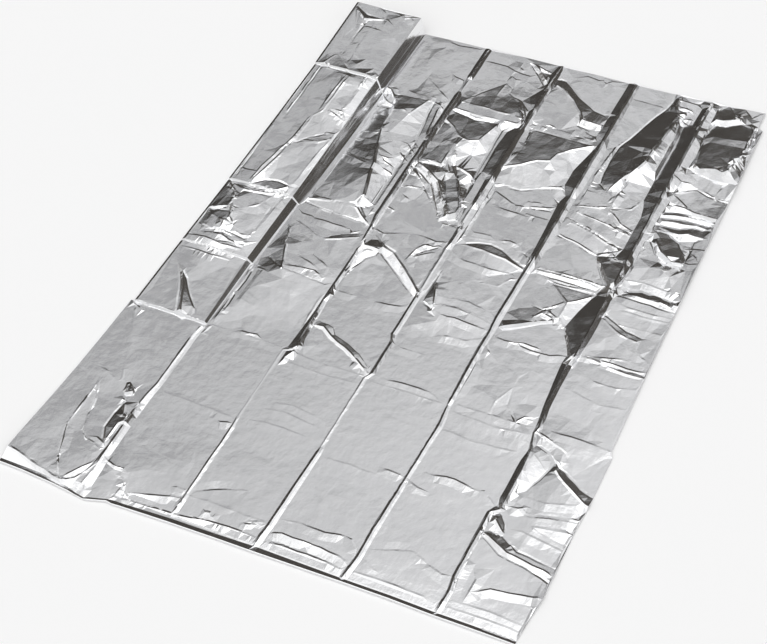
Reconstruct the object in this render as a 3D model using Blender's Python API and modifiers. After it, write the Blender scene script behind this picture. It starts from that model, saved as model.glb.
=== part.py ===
"""An emergency foil blanket, opened out of its pouch folds and laid on a floor.

One rectangle of metallised film. It was folded into 6 columns and 8 rows of cells, and it keeps those
creases: the panels near the front lie flat, those further back stand up in facets, the first column is
lifted like a low box, and the front row is turned under. The sheet is a net of flat facets between its
creases, thickened upwards from its underside. Metres, +Z up; columns count along +X and rows along +Y.
"""

from math import cos, pi, sin

import bmesh
import bpy
from mathutils import Matrix, Vector
from mathutils.geometry import delaunay_2d_cdt

NAME = "foil_sheet"
COLLECTION = "emergency_foil_blanket"

# Driving dimensions
FLAT_WIDTH = 1.40           # the sheet before it is folded, across
FLAT_LENGTH = 2.10          # and along
COLUMNS = 6                 # pouch folds across the width
ROWS = 8                    # and along the length, one of them turned under
THICKNESS = 0.001           # stands for a 12 micrometre film
COLUMN = FLAT_WIDTH / COLUMNS
ROW = FLAT_LENGTH / ROWS
MM = 0.001
SAME_PLACE = 1e-4           # bends closer than this are one bend
FOIL_COLOUR = (0.87, 0.87, 0.88, 1.0)
FOIL_ROUGHNESS = 0.15

# The front: row -1 turns under along FRONT_EDGE and its flap lies on the floor
FLAP_LENGTH = 0.62 * ROW    # length of the flap under the sheet
TURN_STEPS = 5              # facets round the turn
TURN_BULGE = 1.4            # the turn is this much deeper than a half circle
FRONT_LIFT = ((-0.27, 9.0), (0.0, 5.5), (0.42, 3.4), (0.75, 0.0))    # row, height in mm

# The first column stands up from row 2 to the far edge. Columns are places across, lift is in mm
LIFTED = (
    # row, rim foot, rim top, wall top, wall foot, lift
    (2.00, 0.010, 0.020, 0.985, 1.020, 0),
    (2.06, 0.040, 0.065, 0.985, 1.040, 5),
    (2.30, 0.045, 0.080, 0.990, 1.090, 14),
    (3.00, 0.060, 0.100, 0.965, 1.080, 22),
    (4.00, 0.080, 0.125, 0.990, 1.090, 32),
    (5.00, 0.115, 0.165, 1.030, 1.090, 42),
    (6.00, 0.130, 0.190, 1.030, 1.100, 54),
    (6.99, 0.110, 0.165, 1.070, 1.110, 62),
)

# The outline, as places in the creased grid
FRONT_EDGE = (
    # column, row, height in mm
    (-0.105, -0.245, 7),
    (0.40, -0.270, 5),
    (0.62, -0.280, 4),
    (0.93, -0.305, 2),
    (1.01, -0.310, 0),
    (1.30, -0.270, 0),
    (2.20, -0.262, 0),
    (3.20, -0.252, 0),
    (4.20, -0.245, 0),
    (5.20, -0.238, 0),
)
LEFT_EDGE = (
    # row, column, height in mm
    (1.50, -0.015, 1),
    (1.00, -0.04, 1),
    (0.50, -0.07, 2),
    (0.00, -0.10, 4),
)
RIGHT_EDGE = (
    # row, column, height in mm
    (-0.237, 5.88, 0),
    (0.00, 5.90, 1),
    (0.22, 5.93, 5),
    (1.00, 5.91, 1),
    (1.38, 5.92, 8),
    (1.97, 5.91, 1),
    (2.04, 5.87, 2),
    (3.00, 5.83, 5),
    (3.90, 5.81, 4),
    (4.10, 5.80, 9),
    (5.00, 5.78, 7),
    (5.90, 5.77, 12),
    (6.15, 5.76, 9),
    (6.84, 5.74, 4),
    (6.88, 5.67, 4),
)
FAR_EDGE = (
    # column, row, height in mm
    (5.67, 7.13, 3),
    (5.42, 7.11, 6),
    (5.18, 7.10, 3),
    (4.62, 7.07, 8),
    (4.54, 7.07, 3),
    (3.50, 7.05, 4),
    (2.50, 7.03, 3),
    (1.50, 7.00, 2),
)

# Long creases: low ridges that rise over `rise` columns to a crest and fall over `fall` columns
LONG_CREASES = {
    2: (
        # row, rise, crest in mm, fall, foot on the left in mm, foot on the right in mm
        (-0.27, 0.04, 2.0, 0.05, 0, 0),
        (1.97, 0.04, 1.5, 0.05, 0, 0),
        (2.30, 0.06, 3.5, 0.07, 0, 0),
        (3.10, 0.04, 2.5, 0.06, 0, 0),
        (4.20, 0.06, 8.0, 0.08, 1, 5),
        (5.05, 0.06, 8.0, 0.08, 1, 5),
        (5.50, 0.09, 7.0, 0.07, 1, 3),
        (6.10, 0.06, 4.0, 0.07, 1, 1),
        (7.01, 0.05, 4.0, 0.06, 1, 1),
    ),
    3: (
        (-0.27, 0.04, 3.0, 0.06, 0, 0),
        (1.97, 0.03, 2.0, 0.05, 0, 0),
        (2.50, 0.05, 4.0, 0.06, 0, 0),
        (3.10, 0.04, 5.0, 0.09, 0, 2),
        (4.20, 0.05, 5.0, 0.12, 1, 1),
        (4.90, 0.07, 6.0, 0.12, 1, 1),
        (5.50, 0.12, 10.0, 0.09, 2, 3),
        (6.15, 0.08, 9.0, 0.07, 2, 7),
        (6.60, 0.08, 9.0, 0.06, 2, 8),
        (7.04, 0.05, 6.0, 0.06, 2, 3),
    ),
    4: (
        (-0.27, 0.04, 3.0, 0.07, 0, 0),
        (1.97, 0.04, 2.5, 0.06, 0, 0),
        (2.50, 0.05, 4.0, 0.07, 0, 0),
        (3.10, 0.05, 4.0, 0.08, 0, 1),
        (4.10, 0.06, 5.0, 0.09, 1, 2),
        (5.10, 0.06, 5.5, 0.09, 1, 2),
        (5.50, 0.11, 9.0, 0.12, 2, 3),
        (6.20, 0.10, 9.0, 0.10, 2, 2),
        (7.05, 0.09, 8.0, 0.07, 2, 2),
    ),
    5: (
        (-0.27, 0.04, 2.5, 0.06, 0, 0),
        (0.95, 0.03, 2.5, 0.05, 0, 0),
        (1.10, 0.03, 4.0, 0.09, 0, 1),
        (1.70, 0.03, 4.0, 0.09, 0, 1),
        (2.02, 0.03, 2.0, 0.05, 0, 0),
        (2.90, 0.10, 7.0, 0.07, 0, 2),
        (3.10, 0.06, 5.0, 0.07, 0, 2),
        (3.34, 0.24, 14.0, 0.10, 0, 4),
        (3.70, 0.17, 12.0, 0.10, 0, 4),
        (4.05, 0.08, 7.0, 0.09, 1, 3),
        (4.32, 0.20, 14.0, 0.10, 2, 4),
        (4.60, 0.12, 9.0, 0.10, 2, 4),
        (5.00, 0.11, 9.0, 0.10, 2, 4),
        (5.50, 0.16, 16.0, 0.11, 6, 5),
        (6.10, 0.16, 17.0, 0.13, 7, 7),
        (6.60, 0.16, 16.0, 0.13, 6, 6),
        (7.08, 0.11, 10.0, 0.10, 3, 3),
    ),
}

# Folds inside the cells: a name, then (column, row, height in mm) at each bend of the fold
FOLDS = (
    # first column
    ("front bulge", (0.62, -0.27, 2), (0.45, 0.0, 2), (0.30, 0.3, 3), (0.30, 0.85, 3)),
    ("front dent", (0.72, 0.74, 2), (0.71, 0.40, 2), (0.78, 0.28, 3)),
    ("front dent ridge", (0.80, 0.72, 5), (0.86, 0.60, 9), (0.80, 0.32, 6)),
    ("first crease", (0.93, -0.27, 3), (0.93, 1.0, 4), (0.94, 1.97, 3)),
    ("first crease foot", (1.01, -0.27, 0), (1.01, 1.0, 0), (1.01, 1.90, 0)),
    ("left third", (0.28, 1.05, 0), (0.30, 1.96, 0)),
    ("point of row 2", (0.33, 2.52, 1), (0.60, 2.08, 1)),
    ("ridge of row 2", (0.33, 2.52, 1), (0.84, 2.08, 6)),
    ("valley of row 3", (0.13, 3.90, 0), (0.15, 3.55, 0), (0.15, 3.15, 0)),
    ("ridge of row 3", (0.31, 3.70, 8), (0.34, 3.58, 10), (0.44, 3.42, 10), (0.44, 3.24, 7), (0.78, 3.1, 2)),
    ("cross fold of row 4", (0.13, 4.0, 0), (0.40, 3.93, 4), (0.72, 3.96, 4), (0.95, 4.05, 3)),
    ("long fold of row 4", (0.40, 3.93, 4), (0.42, 4.16, 3), (0.58, 4.68, 5), (0.60, 5.10, 5)),
    ("cross fold of row 5", (0.58, 4.68, 5), (0.90, 4.92, 3)),
    ("long fold of row 5", (0.60, 5.10, 5), (0.68, 5.25, 5), (0.70, 5.80, 5)),
    ("cross fold of row 6", (0.24, 5.86, 0), (0.70, 5.80, 5), (1.0, 5.85, 3)),
    # second column
    ("wall triangle", (1.12, 3.88, 1), (1.18, 3.60, 4), (1.30, 3.28, 7), (1.37, 3.04, 6)),
    ("cross fold 4", (1.14, 3.97, 1), (1.50, 4.06, 5), (1.74, 4.04, 5), (1.92, 3.93, 2)),
    ("lobe foot", (1.17, 4.22, 0), (1.16, 5.00, 0), (1.17, 5.62, 0)),
    ("lobe ridge", (1.78, 4.14, 5), (1.73, 4.34, 8), (1.64, 4.58, 10), (1.61, 4.76, 11), (1.51, 4.97, 12)),
    ("lobe ridge back", (1.51, 4.97, 12), (1.42, 5.32, 12), (1.40, 5.56, 16), (1.52, 5.64, 19)),
    ("lobe top", (1.52, 5.64, 19), (1.62, 5.61, 18), (1.71, 5.84, 13), (1.81, 5.92, 8)),
    ("lobe edge", (1.89, 4.20, 2), (1.88, 4.90, 2), (1.90, 5.30, 3), (1.87, 5.65, 6), (1.81, 5.92, 8)),
    ("cross fold 6", (1.13, 6.00, 2), (1.35, 5.93, 5), (1.68, 5.95, 6), (1.92, 6.0, 3)),
    # third column
    ("slant of row 2", (2.12, 2.44, 1), (2.36, 2.33, 4), (2.70, 2.22, 4), (2.94, 2.07, 1)),
    ("pleat foot", (2.30, 3.55, 0), (2.94, 3.11, 0)),
    ("pleat crest", (2.32, 3.62, 8), (2.38, 3.61, 6), (2.95, 3.20, 5)),
    ("corner ridge", (2.08, 3.60, 9), (2.25, 3.54, 10), (2.32, 3.62, 8)),
    ("corner foot", (2.09, 3.86, 1), (2.28, 3.84, 1)),
    ("grey facet", (2.12, 4.02, 1), (2.22, 4.26, 1), (2.29, 4.37, 1), (2.34, 4.60, 2), (2.12, 4.60, 3)),
    ("slant stripe", (2.12, 4.90, 6), (2.30, 4.73, 6), (2.55, 4.50, 6), (2.78, 4.28, 4)),
    ("slant stripe foot", (2.40, 4.97, 4), (2.48, 4.73, 2), (2.62, 4.55, 2), (2.82, 4.33, 1)),
    ("blob ridge", (2.86, 4.46, 2), (2.75, 4.70, 10), (2.64, 4.86, 13), (2.54, 5.06, 17), (2.41, 5.34, 20)),
    ("blob top", (2.41, 5.34, 20), (2.40, 5.50, 20), (2.52, 5.47, 20), (2.65, 5.52, 18), (2.74, 5.80, 12)),
    ("triangle foot", (2.12, 5.03, 4), (2.19, 5.28, 8), (2.40, 5.50, 20)),
    ("cross fold 6b", (2.10, 5.87, 4), (2.40, 5.78, 12), (2.74, 5.80, 12), (2.88, 5.80, 3)),
    ("row 6 step", (2.12, 6.02, 6), (2.55, 6.04, 14), (2.93, 6.00, 8)),
    ("row 6 facet", (2.14, 6.06, 5), (2.40, 6.38, 3), (2.47, 6.53, 2), (2.60, 6.46, 2), (2.78, 6.29, 2)),
    # fourth column
    ("small triangle", (3.13, 3.55, 2), (3.18, 3.30, 6), (3.27, 3.06, 5)),
    ("cross fold 4b", (3.15, 3.97, 3), (3.50, 3.98, 6), (3.75, 3.96, 5), (3.93, 3.92, 2)),
    ("cross foot 4b", (3.20, 4.02, 2), (3.45, 4.12, 1), (3.75, 4.06, 1), (3.93, 3.95, 1)),
    ("cross fold 5b", (3.14, 4.98, 2), (3.45, 5.02, 3), (3.70, 5.12, 4), (3.90, 5.05, 2)),
    ("slant of row 5", (3.10, 5.26, 5), (3.27, 5.37, 9), (3.47, 5.48, 13), (3.62, 5.57, 14), (3.84, 5.84, 9)),
    ("row 6 level", (3.12, 5.92, 7), (3.60, 5.94, 8), (3.84, 5.84, 9)),
    ("band foot", (3.10, 6.80, 3), (3.18, 6.79, 2), (3.46, 6.62, 2), (3.85, 6.45, 2)),
    ("band crest", (3.12, 6.70, 8), (3.22, 6.65, 9), (3.47, 6.46, 10), (3.64, 6.26, 10), (3.89, 6.24, 7)),
    ("band toe", (3.62, 6.10, 5), (3.89, 6.08, 3)),
    # fifth column
    ("low slant", (4.12, 3.14, 1), (4.33, 3.30, 4), (4.46, 3.44, 6), (4.63, 3.63, 9)),
    ("hexagon", (4.12, 3.58, 3), (4.32, 3.49, 5), (4.46, 3.44, 6)),
    ("dark triangle", (4.32, 3.86, 2), (4.63, 3.63, 9), (4.80, 3.84, 2)),
    ("cross fold 4c", (4.12, 3.93, 1), (4.32, 3.86, 2), (4.80, 3.84, 2), (4.89, 3.93, 2)),
    ("facet valley", (4.14, 4.56, 2), (4.64, 4.40, 2), (4.76, 4.32, 1)),
    ("pleat 1", (4.14, 4.80, 5), (4.60, 4.65, 6), (4.83, 4.57, 5)),
    ("pleat 2", (4.15, 4.98, 4), (4.50, 5.05, 6), (4.68, 4.93, 5), (4.86, 4.82, 3)),
    ("lens foot", (4.38, 5.34, 7), (4.27, 5.42, 3), (4.22, 5.70, 2), (4.22, 5.96, 2), (4.36, 6.40, 2)),
    ("lens foot back", (4.36, 6.40, 2), (4.50, 6.78, 2), (4.54, 6.93, 3)),
    ("lens crest", (4.38, 5.34, 7), (4.53, 5.60, 15), (4.61, 5.90, 19), (4.64, 6.20, 20), (4.69, 6.46, 18)),
    ("lens crest back", (4.69, 6.46, 18), (4.72, 6.68, 14), (4.64, 6.93, 9)),
    ("strip foot", (4.53, 5.10, 4), (4.53, 5.60, 15)),
    # sixth column
    ("front pleat", (5.30, 0.10, 1), (5.45, 0.14, 3), (5.93, 0.22, 5)),
    ("fan 1", (5.08, 0.70, 1), (5.38, 0.56, 2), (5.90, 0.50, 0)),
    ("fan 2", (5.09, 0.74, 1), (5.24, 0.74, 6), (5.40, 0.60, 6), (5.90, 0.60, 2)),
    ("fan 3", (5.10, 1.04, 2), (5.24, 0.80, 3)),
    ("bar foot", (5.46, 1.70, 2), (5.60, 1.58, 1), (5.91, 1.46, 2)),
    ("bar crest", (5.43, 1.64, 6), (5.58, 1.50, 8), (5.92, 1.34, 8)),
    ("soft fold", (5.10, 3.62, 3), (5.30, 3.48, 6), (5.52, 3.42, 6)),
    ("cross fold 4d", (5.12, 3.98, 4), (5.50, 3.98, 10), (5.80, 3.98, 9)),
    ("cross foot 4d", (5.12, 4.10, 2), (5.50, 4.13, 3), (5.80, 4.15, 3)),
    ("quad near", (5.23, 4.78, 8), (5.31, 4.64, 12), (5.58, 4.55, 14)),
    ("quad far", (5.22, 4.98, 5), (5.49, 4.84, 5), (5.56, 4.70, 8), (5.58, 4.55, 14)),
    ("stripe 1", (5.12, 5.14, 4), (5.45, 5.22, 7), (5.60, 5.18, 7), (5.78, 5.08, 6)),
    ("stripe 2", (5.12, 5.32, 4), (5.38, 5.36, 7), (5.78, 5.28, 6)),
    ("grey slant", (5.08, 5.57, 5), (5.38, 5.36, 7)),
    ("row 6 front", (5.14, 5.88, 7), (5.50, 5.88, 9), (5.77, 5.88, 9)),
    ("row 6 crest", (5.16, 6.03, 12), (5.30, 5.99, 21), (5.60, 6.02, 22), (5.74, 5.99, 16)),
    ("hollow foot", (5.14, 6.40, 7), (5.17, 6.64, 5), (5.30, 6.78, 5), (5.45, 6.89, 5), (5.62, 6.79, 5)),
    ("hollow rim", (5.62, 6.79, 5), (5.63, 6.40, 14), (5.60, 6.02, 22)),
    ("far hollow", (5.12, 6.95, 3), (5.13, 6.84, 5), (5.25, 6.78, 8), (5.41, 6.92, 9)),
)
ROW_CREASES = ((1.0, 1.0), (2.0, 2.0), (3.0, 2.0))        # row, crest in mm, across every panel
ROW_CREASE_WIDTH = 0.05
PANEL_EDGES = ((1.12, 1.90), (2.12, 2.92), (3.14, 3.91), (4.12, 4.86), (5.12, 5.80))


def along(stations, place):
    """The values of the stations at a place, straight between one station and the next."""
    if place <= stations[0][0]:
        return stations[0][1:]
    for low, high in zip(stations, stations[1:]):
        if place <= high[0]:
            share = (place - low[0]) / (high[0] - low[0])
            return tuple(a + share * (b - a) for a, b in zip(low[1:], high[1:]))
    return stations[-1][1:]


def lift(column, row):
    """Height in mm of the base that the folds stand on: the front's slope and the lifted column."""
    base = along(FRONT_LIFT, row)[0]
    if row < LIFTED[0][0]:
        return base
    rim_foot, rim_top, wall_top, wall_foot, height = along(LIFTED, row)
    up = min(1.0, max(0.0, (column - rim_foot) / (rim_top - rim_foot)))
    down = min(1.0, max(0.0, (wall_foot - column) / (wall_foot - wall_top)))
    return base + height * min(up, down)


class Net:
    """The creases of the sheet: bends as (column, row, height in mm), and the folds between them."""

    def __init__(self):
        self.bends = []
        self.folds = []

    def number(self, bend):
        """The number of the bend at a place, a new one where there is none yet."""
        for number, known in enumerate(self.bends):
            if abs(known[0] - bend[0]) < SAME_PLACE and abs(known[1] - bend[1]) < SAME_PLACE:
                return number
        self.bends.append(bend)
        return len(self.bends) - 1

    def fold(self, bends):
        """Adds one fold through its bends and gives their numbers."""
        numbers = [self.number(bend) for bend in bends]
        self.folds.extend(zip(numbers, numbers[1:]))
        return numbers

    def height_on(self, fold, place):
        """Height in mm of a fold where it passes a place."""
        start, end = (self.bends[number] for number in self.folds[fold])
        run = Vector((end[0] - start[0], end[1] - start[1]))
        share = (place - Vector(start[:2])).dot(run) / run.length_squared
        return start[2] + share * (end[2] - start[2])

    def facets(self, outline):
        """The flat facets inside the outline: their corners (column, row, height) and triangles."""
        places = [Vector(bend[:2]) for bend in self.bends]
        found = delaunay_2d_cdt(places, self.folds, [outline], 1, SAME_PLACE / 10)
        corners, edges, triangles, known, parents = found[:5]
        heights = [self.bends[names[0]][2] if names else 0.0 for names in known]
        for edge, folds in zip(edges, parents):
            for corner in edge:
                if not known[corner]:
                    passing = [self.height_on(f, corners[corner]) for f in folds if f < len(self.folds)]
                    heights[corner] = max([heights[corner], *passing])
        return [(place.x, place.y, height) for place, height in zip(corners, heights)], triangles


def creased_net():
    """The net of every crease, and the bends of its outline in order."""
    net = Net()
    rim = [(row[1], row[0], 0) for row in LIFTED]
    far_lifted = [(LIFTED[-1][place], LIFTED[-1][0], 0) for place in (4, 3, 2)]
    right = [(column, row, height) for row, column, height in RIGHT_EDGE]
    left = [(column, row, height) for row, column, height in reversed(LEFT_EDGE)]
    outline = net.fold([*FRONT_EDGE, *right, *FAR_EDGE, *far_lifted, *reversed(rim), *reversed(left)])
    net.folds.append((outline[-1], outline[0]))
    for place in (2, 3, 4):
        net.fold([(station[place], station[0], 0) for station in LIFTED])
    for line, stations in LONG_CREASES.items():
        net.fold([(line - rise, row, foot) for row, rise, crest, fall, foot, far_foot in stations])
        net.fold([(line, row, crest) for row, rise, crest, fall, foot, far_foot in stations])
        net.fold([(line + fall, row, far_foot) for row, rise, crest, fall, foot, far_foot in stations])
    for row, crest in ROW_CREASES:
        for left_end, right_end in PANEL_EDGES:
            for step, height in ((-ROW_CREASE_WIDTH, 0), (0, crest), (ROW_CREASE_WIDTH, 0)):
                net.fold([(left_end, row + step, height), (right_end, row + step, height)])
    for row, _ in FRONT_LIFT[1:]:
        net.fold([(along(LEFT_EDGE[::-1], row)[0], row, 1), (5.9, row, 1)])
    for name, *bends in FOLDS:
        net.fold(bends)
    return net, outline


def creased_sheet():
    """The sheet's underside as one open surface, before its front edge is turned under."""
    net, outline = creased_net()
    corners, triangles = net.facets(outline)
    sheet = bmesh.new()
    for column, row, height in corners:
        sheet.verts.new((column * COLUMN, row * ROW, (height + lift(column, row)) * MM))
    sheet.verts.ensure_lookup_table()
    for triangle in triangles:
        sheet.faces.new([sheet.verts[corner] for corner in triangle])
    strays = [vert for vert in sheet.verts if not vert.link_faces]
    bmesh.ops.delete(sheet, geom=strays, context="VERTS")
    sheet.verts.index_update()
    return sheet


def turn_front_under(sheet):
    """Extrudes the front edge round the turn and back along the floor as the flap."""
    front = [Vector((column * COLUMN, row * ROW)) for column, row, _ in FRONT_EDGE]
    front.append(Vector((RIGHT_EDGE[0][1] * COLUMN, RIGHT_EDGE[0][0] * ROW)))
    tops = {vert.index: vert.co.copy() for vert in sheet.verts if on_line(vert.co, front)}
    rim = [edge for edge in sheet.edges if edge.is_boundary and all(v.index in tops for v in edge.verts)]
    angles = [pi / 2 - pi * step / TURN_STEPS for step in range(1, TURN_STEPS + 1)]
    name = sheet.verts.layers.int.new("top")
    for vert in sheet.verts:
        vert[name] = vert.index
    for step in (*angles, None):
        made = bmesh.ops.extrude_edge_only(sheet, edges=rim)["geom"]
        rim = [item for item in made if isinstance(item, bmesh.types.BMEdge) and item.is_boundary]
        for vert in {v for edge in rim for v in edge.verts}:
            top = tops[vert[name]]
            radius = (top.z - THICKNESS) / 2
            if step is None:
                vert.co = (top.x, top.y + FLAP_LENGTH, THICKNESS)
            else:
                out = TURN_BULGE * radius * cos(step)
                vert.co = (top.x, top.y - out, THICKNESS + radius * (1 + sin(step)))


def on_line(point, line):
    """True where a point stands over a line of straight runs."""
    for start, end in zip(line, line[1:]):
        run = end - start
        share = (point.xy - start).dot(run) / run.length_squared
        if -SAME_PLACE < share < 1 + SAME_PLACE and (start + share * run - point.xy).length < SAME_PLACE:
            return True
    return False


def foil_material():
    """Silver metallised film."""
    material = bpy.data.materials.new("foil")
    material.use_nodes = True
    shader = material.node_tree.nodes["Principled BSDF"]
    shader.inputs["Base Color"].default_value = FOIL_COLOUR
    shader.inputs["Metallic"].default_value = 1.0
    shader.inputs["Roughness"].default_value = FOIL_ROUGHNESS
    return material


def thickened(sheet, collection):
    """The object for the sheet, grown upwards from its underside and applied as one closed body."""
    mesh = bpy.data.meshes.new(NAME)
    sheet.to_mesh(mesh)
    piece = bpy.data.objects.new(NAME, mesh)
    collection.objects.link(piece)
    mesh.materials.append(foil_material())
    shell = piece.modifiers.new("thickness", "SOLIDIFY")
    shell.thickness = THICKNESS
    shell.offset = 1.0
    shell.use_even_offset = False
    bpy.context.view_layer.update()
    solid = piece.evaluated_get(bpy.context.evaluated_depsgraph_get()).to_mesh().copy()
    piece.modifiers.clear()
    piece.data = solid
    return piece


def stand_on_origin(piece):
    """Moves the mesh so that the middle of its bounding box underside is the origin."""
    corners = [Vector(corner) for corner in piece.bound_box]
    low = Vector([min(corner[axis] for corner in corners) for axis in range(3)])
    high = Vector([max(corner[axis] for corner in corners) for axis in range(3)])
    middle = (low + high) / 2
    piece.data.transform(Matrix.Translation((-middle.x, -middle.y, -low.z)))


def main():
    for leftover in list(bpy.data.objects):
        bpy.data.objects.remove(leftover, do_unlink=True)
    collection = bpy.data.collections.new(COLLECTION)
    bpy.context.scene.collection.children.link(collection)
    sheet = creased_sheet()
    turn_front_under(sheet)
    piece = thickened(sheet, collection)
    sheet.free()
    bpy.context.view_layer.update()
    stand_on_origin(piece)


main()
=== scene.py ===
"""The looks of an emergency foil blanket, opened out of its pouch folds on a pale floor.

Places on the sheet are (column, row) in cells of its fold grid. The grid's first crossing is near the
sheet's left front corner. Heights are in mm over the floor or over the base that lift() gives.
"""

from math import cos, pi, sin

import bmesh
import bpy
import numpy as np
from mathutils import Matrix, Vector, noise
from mathutils.bvhtree import BVHTree
from mathutils.geometry import delaunay_2d_cdt
from mathutils.kdtree import KDTree


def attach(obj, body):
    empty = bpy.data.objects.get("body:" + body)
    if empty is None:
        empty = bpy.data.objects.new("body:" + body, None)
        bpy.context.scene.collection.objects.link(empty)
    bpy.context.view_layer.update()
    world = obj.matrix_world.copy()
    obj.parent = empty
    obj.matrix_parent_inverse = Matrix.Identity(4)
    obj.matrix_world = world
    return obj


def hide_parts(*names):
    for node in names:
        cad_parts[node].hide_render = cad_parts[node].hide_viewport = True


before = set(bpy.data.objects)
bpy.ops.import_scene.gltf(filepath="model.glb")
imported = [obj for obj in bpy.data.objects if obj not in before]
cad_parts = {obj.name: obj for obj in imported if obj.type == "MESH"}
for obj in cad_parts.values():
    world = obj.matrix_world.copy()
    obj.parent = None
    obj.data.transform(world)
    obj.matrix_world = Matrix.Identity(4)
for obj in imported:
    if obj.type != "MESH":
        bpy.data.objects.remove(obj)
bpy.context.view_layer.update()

# Driving dimensions
FLAT_WIDTH = 1.40           # metres, the sheet before it is folded, across
FLAT_LENGTH = 2.10          # metres, and along
COLUMNS = 6                 # pouch folds across the width
ROWS = 8                    # and along the length, one of them turned under
COLUMN = FLAT_WIDTH / COLUMNS
ROW = FLAT_LENGTH / ROWS
SHIFT = (0.6796, 0.8935)    # metres, the grid's first crossing from the middle of the bounding box
MM = 0.001
FILM_LIFT = 0.0008          # metres, the lowest film over the floor
FLAP_HEIGHT = 0.0008        # metres, the flap under the sheet over the floor
FLAP_LENGTH = 0.62 * ROW    # metres, how far the flap goes back
TURN_STEPS = 5              # facets round the turn

# Folds and creases, in columns where nothing else is said
NOISE_SEED = 1              # not 0, which would take the time of day
SAME_PLACE = 1e-4           # bends closer than this are one bend
RAGGED = 0.014              # how far a fold wanders off its line
LONG_RAGGED = 0.006         # and a long crease
UNEVEN = 0.4                # share of its height that a fold wanders up or down
LONG_UNEVEN = 0.15          # and a long crease
WANDER_STEP = 0.11          # between the bends of a wandering fold
WANDER_SCALE = (9.1, 9.7, 0.31)    # by column, row and mm of height
FRONT_STEP = 0.06           # between the points of the front edge
CREST_STEP = 0.05           # between the points of a pressed fold
CREST_WIDTH = 0.022         # from a crest to the plain film beside it
KEENNESS = 2.0              # how much a fold stands out over its facets
KEEN_MOST = 1.2             # mm
RING = 8                    # places round a fold where its facets are measured
HIGH_UP = 99.0              # mm, over all of the film
CREASE_GAIN = 1.25          # true height of a crease for each mm in its table
END_SHARE = 0.3             # share of its height that a crease has at its ends
SHORT_SHARE = 0.6           # and one with two bends
BRIGHT_SIDE = (0.5, -0.87)  # the way a face leans to mirror the bright studio
BRIGHT_WIDTH = 4            # a crease is this much wider on that side
PLACING_ROUNDS = 8          # rounds to find where a bend is from where it is seen
RIM_BEVEL = 3.0             # mm, the last rise of the lifted column's rim
BEVEL_WIDTH = 0.030         # and how wide it is

# Bends between the folds, so that the film isn't drawn with long thin facets
BESIDE_GAP = 0.8 * CREST_WIDTH
KINK_GAP = 0.5 * CREST_WIDTH
CHANCE_GAP = 1.5 * CREST_WIDTH
FRONT_KINKS = (1.36, 5.87, 0.04)    # first column, last column, step
LIFTED_KINKS = (0.05, 1.08, 0.03)
CRUMPLE_STEP = 0.16         # between the chance bends
CHANCE_COLUMNS = (0.0, 5.85, CRUMPLE_STEP)
CHANCE_ROWS = (-0.3, 7.05, CRUMPLE_STEP)
CHANCE_SPREAD = 0.45        # share of the step that a chance bend moves
CHANCE_SCALE = (31.7, 29.3, 5.5)
CRUMPLES = ((0.0, 0.1), (2.0, 0.15), (2.6, 0.2), (7.2, 0.25))    # row, mm up or down by chance

# The film's small waves
CUTS = 2                    # each facet's edge is cut into this many
WAVE_HEIGHT = 0.45          # mm
WAVE_SCALE = (2.3, 2.6)     # waves for each column and row
WAVE_SPOT = 3.7
FINE_HEIGHT = 0.15          # mm
FINE_SCALE = 4.1            # fine waves for each wave
FINE_SPOT = (7.1, 2.3, 0.4)

# Looks
FOIL_DARK = (0.84, 0.845, 0.86, 1)
FOIL_LIGHT = (0.93, 0.93, 0.935, 1)
FOIL_ROUGHNESS = (0.10, 0.20)
BROAD_MOTTLE = {"Scale": 9.0, "Detail": 4.0}
FINE_MOTTLE = {"Scale": 55.0, "Detail": 3.0}
FINE_SHARE = 0.12           # height of the fine mottle for each 1 of the broad one
BUMP_DEPTH = 0.0006         # metres
FLOOR_SIZE = 12.0           # metres
FLOOR_LEVEL = -0.0005       # metres, just under the CAD's underside
FLOOR_COLOUR = (0.97, 0.97, 0.97, 1.0)
FLOOR_ROUGHNESS = 0.9

# Camera, in column widths from the grid's first crossing, and its axes
CAMERA_PLACE = (10.33, -10.66, 16.79)
CAMERA_RIGHT = (0.901, 0.431, -0.051)
CAMERA_FORWARD = (-0.327, 0.598, -0.732)
CAMERA_FOCUS = 2032.0       # pixels
IMAGE_WIDTH = 767           # pixels
SENSOR_WIDTH = 36.0         # mm

# Light by elevation in degrees: behind the sheet, and everywhere else
BACK_LIGHT = (
    (0, 0.05, 0.045, 0.04),
    (30.5, 0.06, 0.055, 0.05),
    (32, 0.18, 0.18, 0.18),
    (36, 0.24, 0.24, 0.24),
    (38.3, 0.60, 0.60, 0.605),
    (40, 0.66, 0.66, 0.665),
    (42, 0.64, 0.64, 0.645),
    (43.3, 0.30, 0.30, 0.305),
    (44.7, 0.28, 0.28, 0.285),
    (46.5, 0.50, 0.50, 0.505),
    (49, 0.63, 0.63, 0.635),
    (57, 0.69, 0.69, 0.695),
    (61, 1.25, 1.25, 1.25),
    (90, 1.30, 1.30, 1.30),
)
FRONT_LIGHT = (
    (0, 0.75, 0.75, 0.75),
    (30, 1.0, 1.0, 1.0),
    (57, 1.15, 1.15, 1.15),
    (62, 1.25, 1.25, 1.25),
    (90, 1.30, 1.30, 1.30),
)
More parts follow.
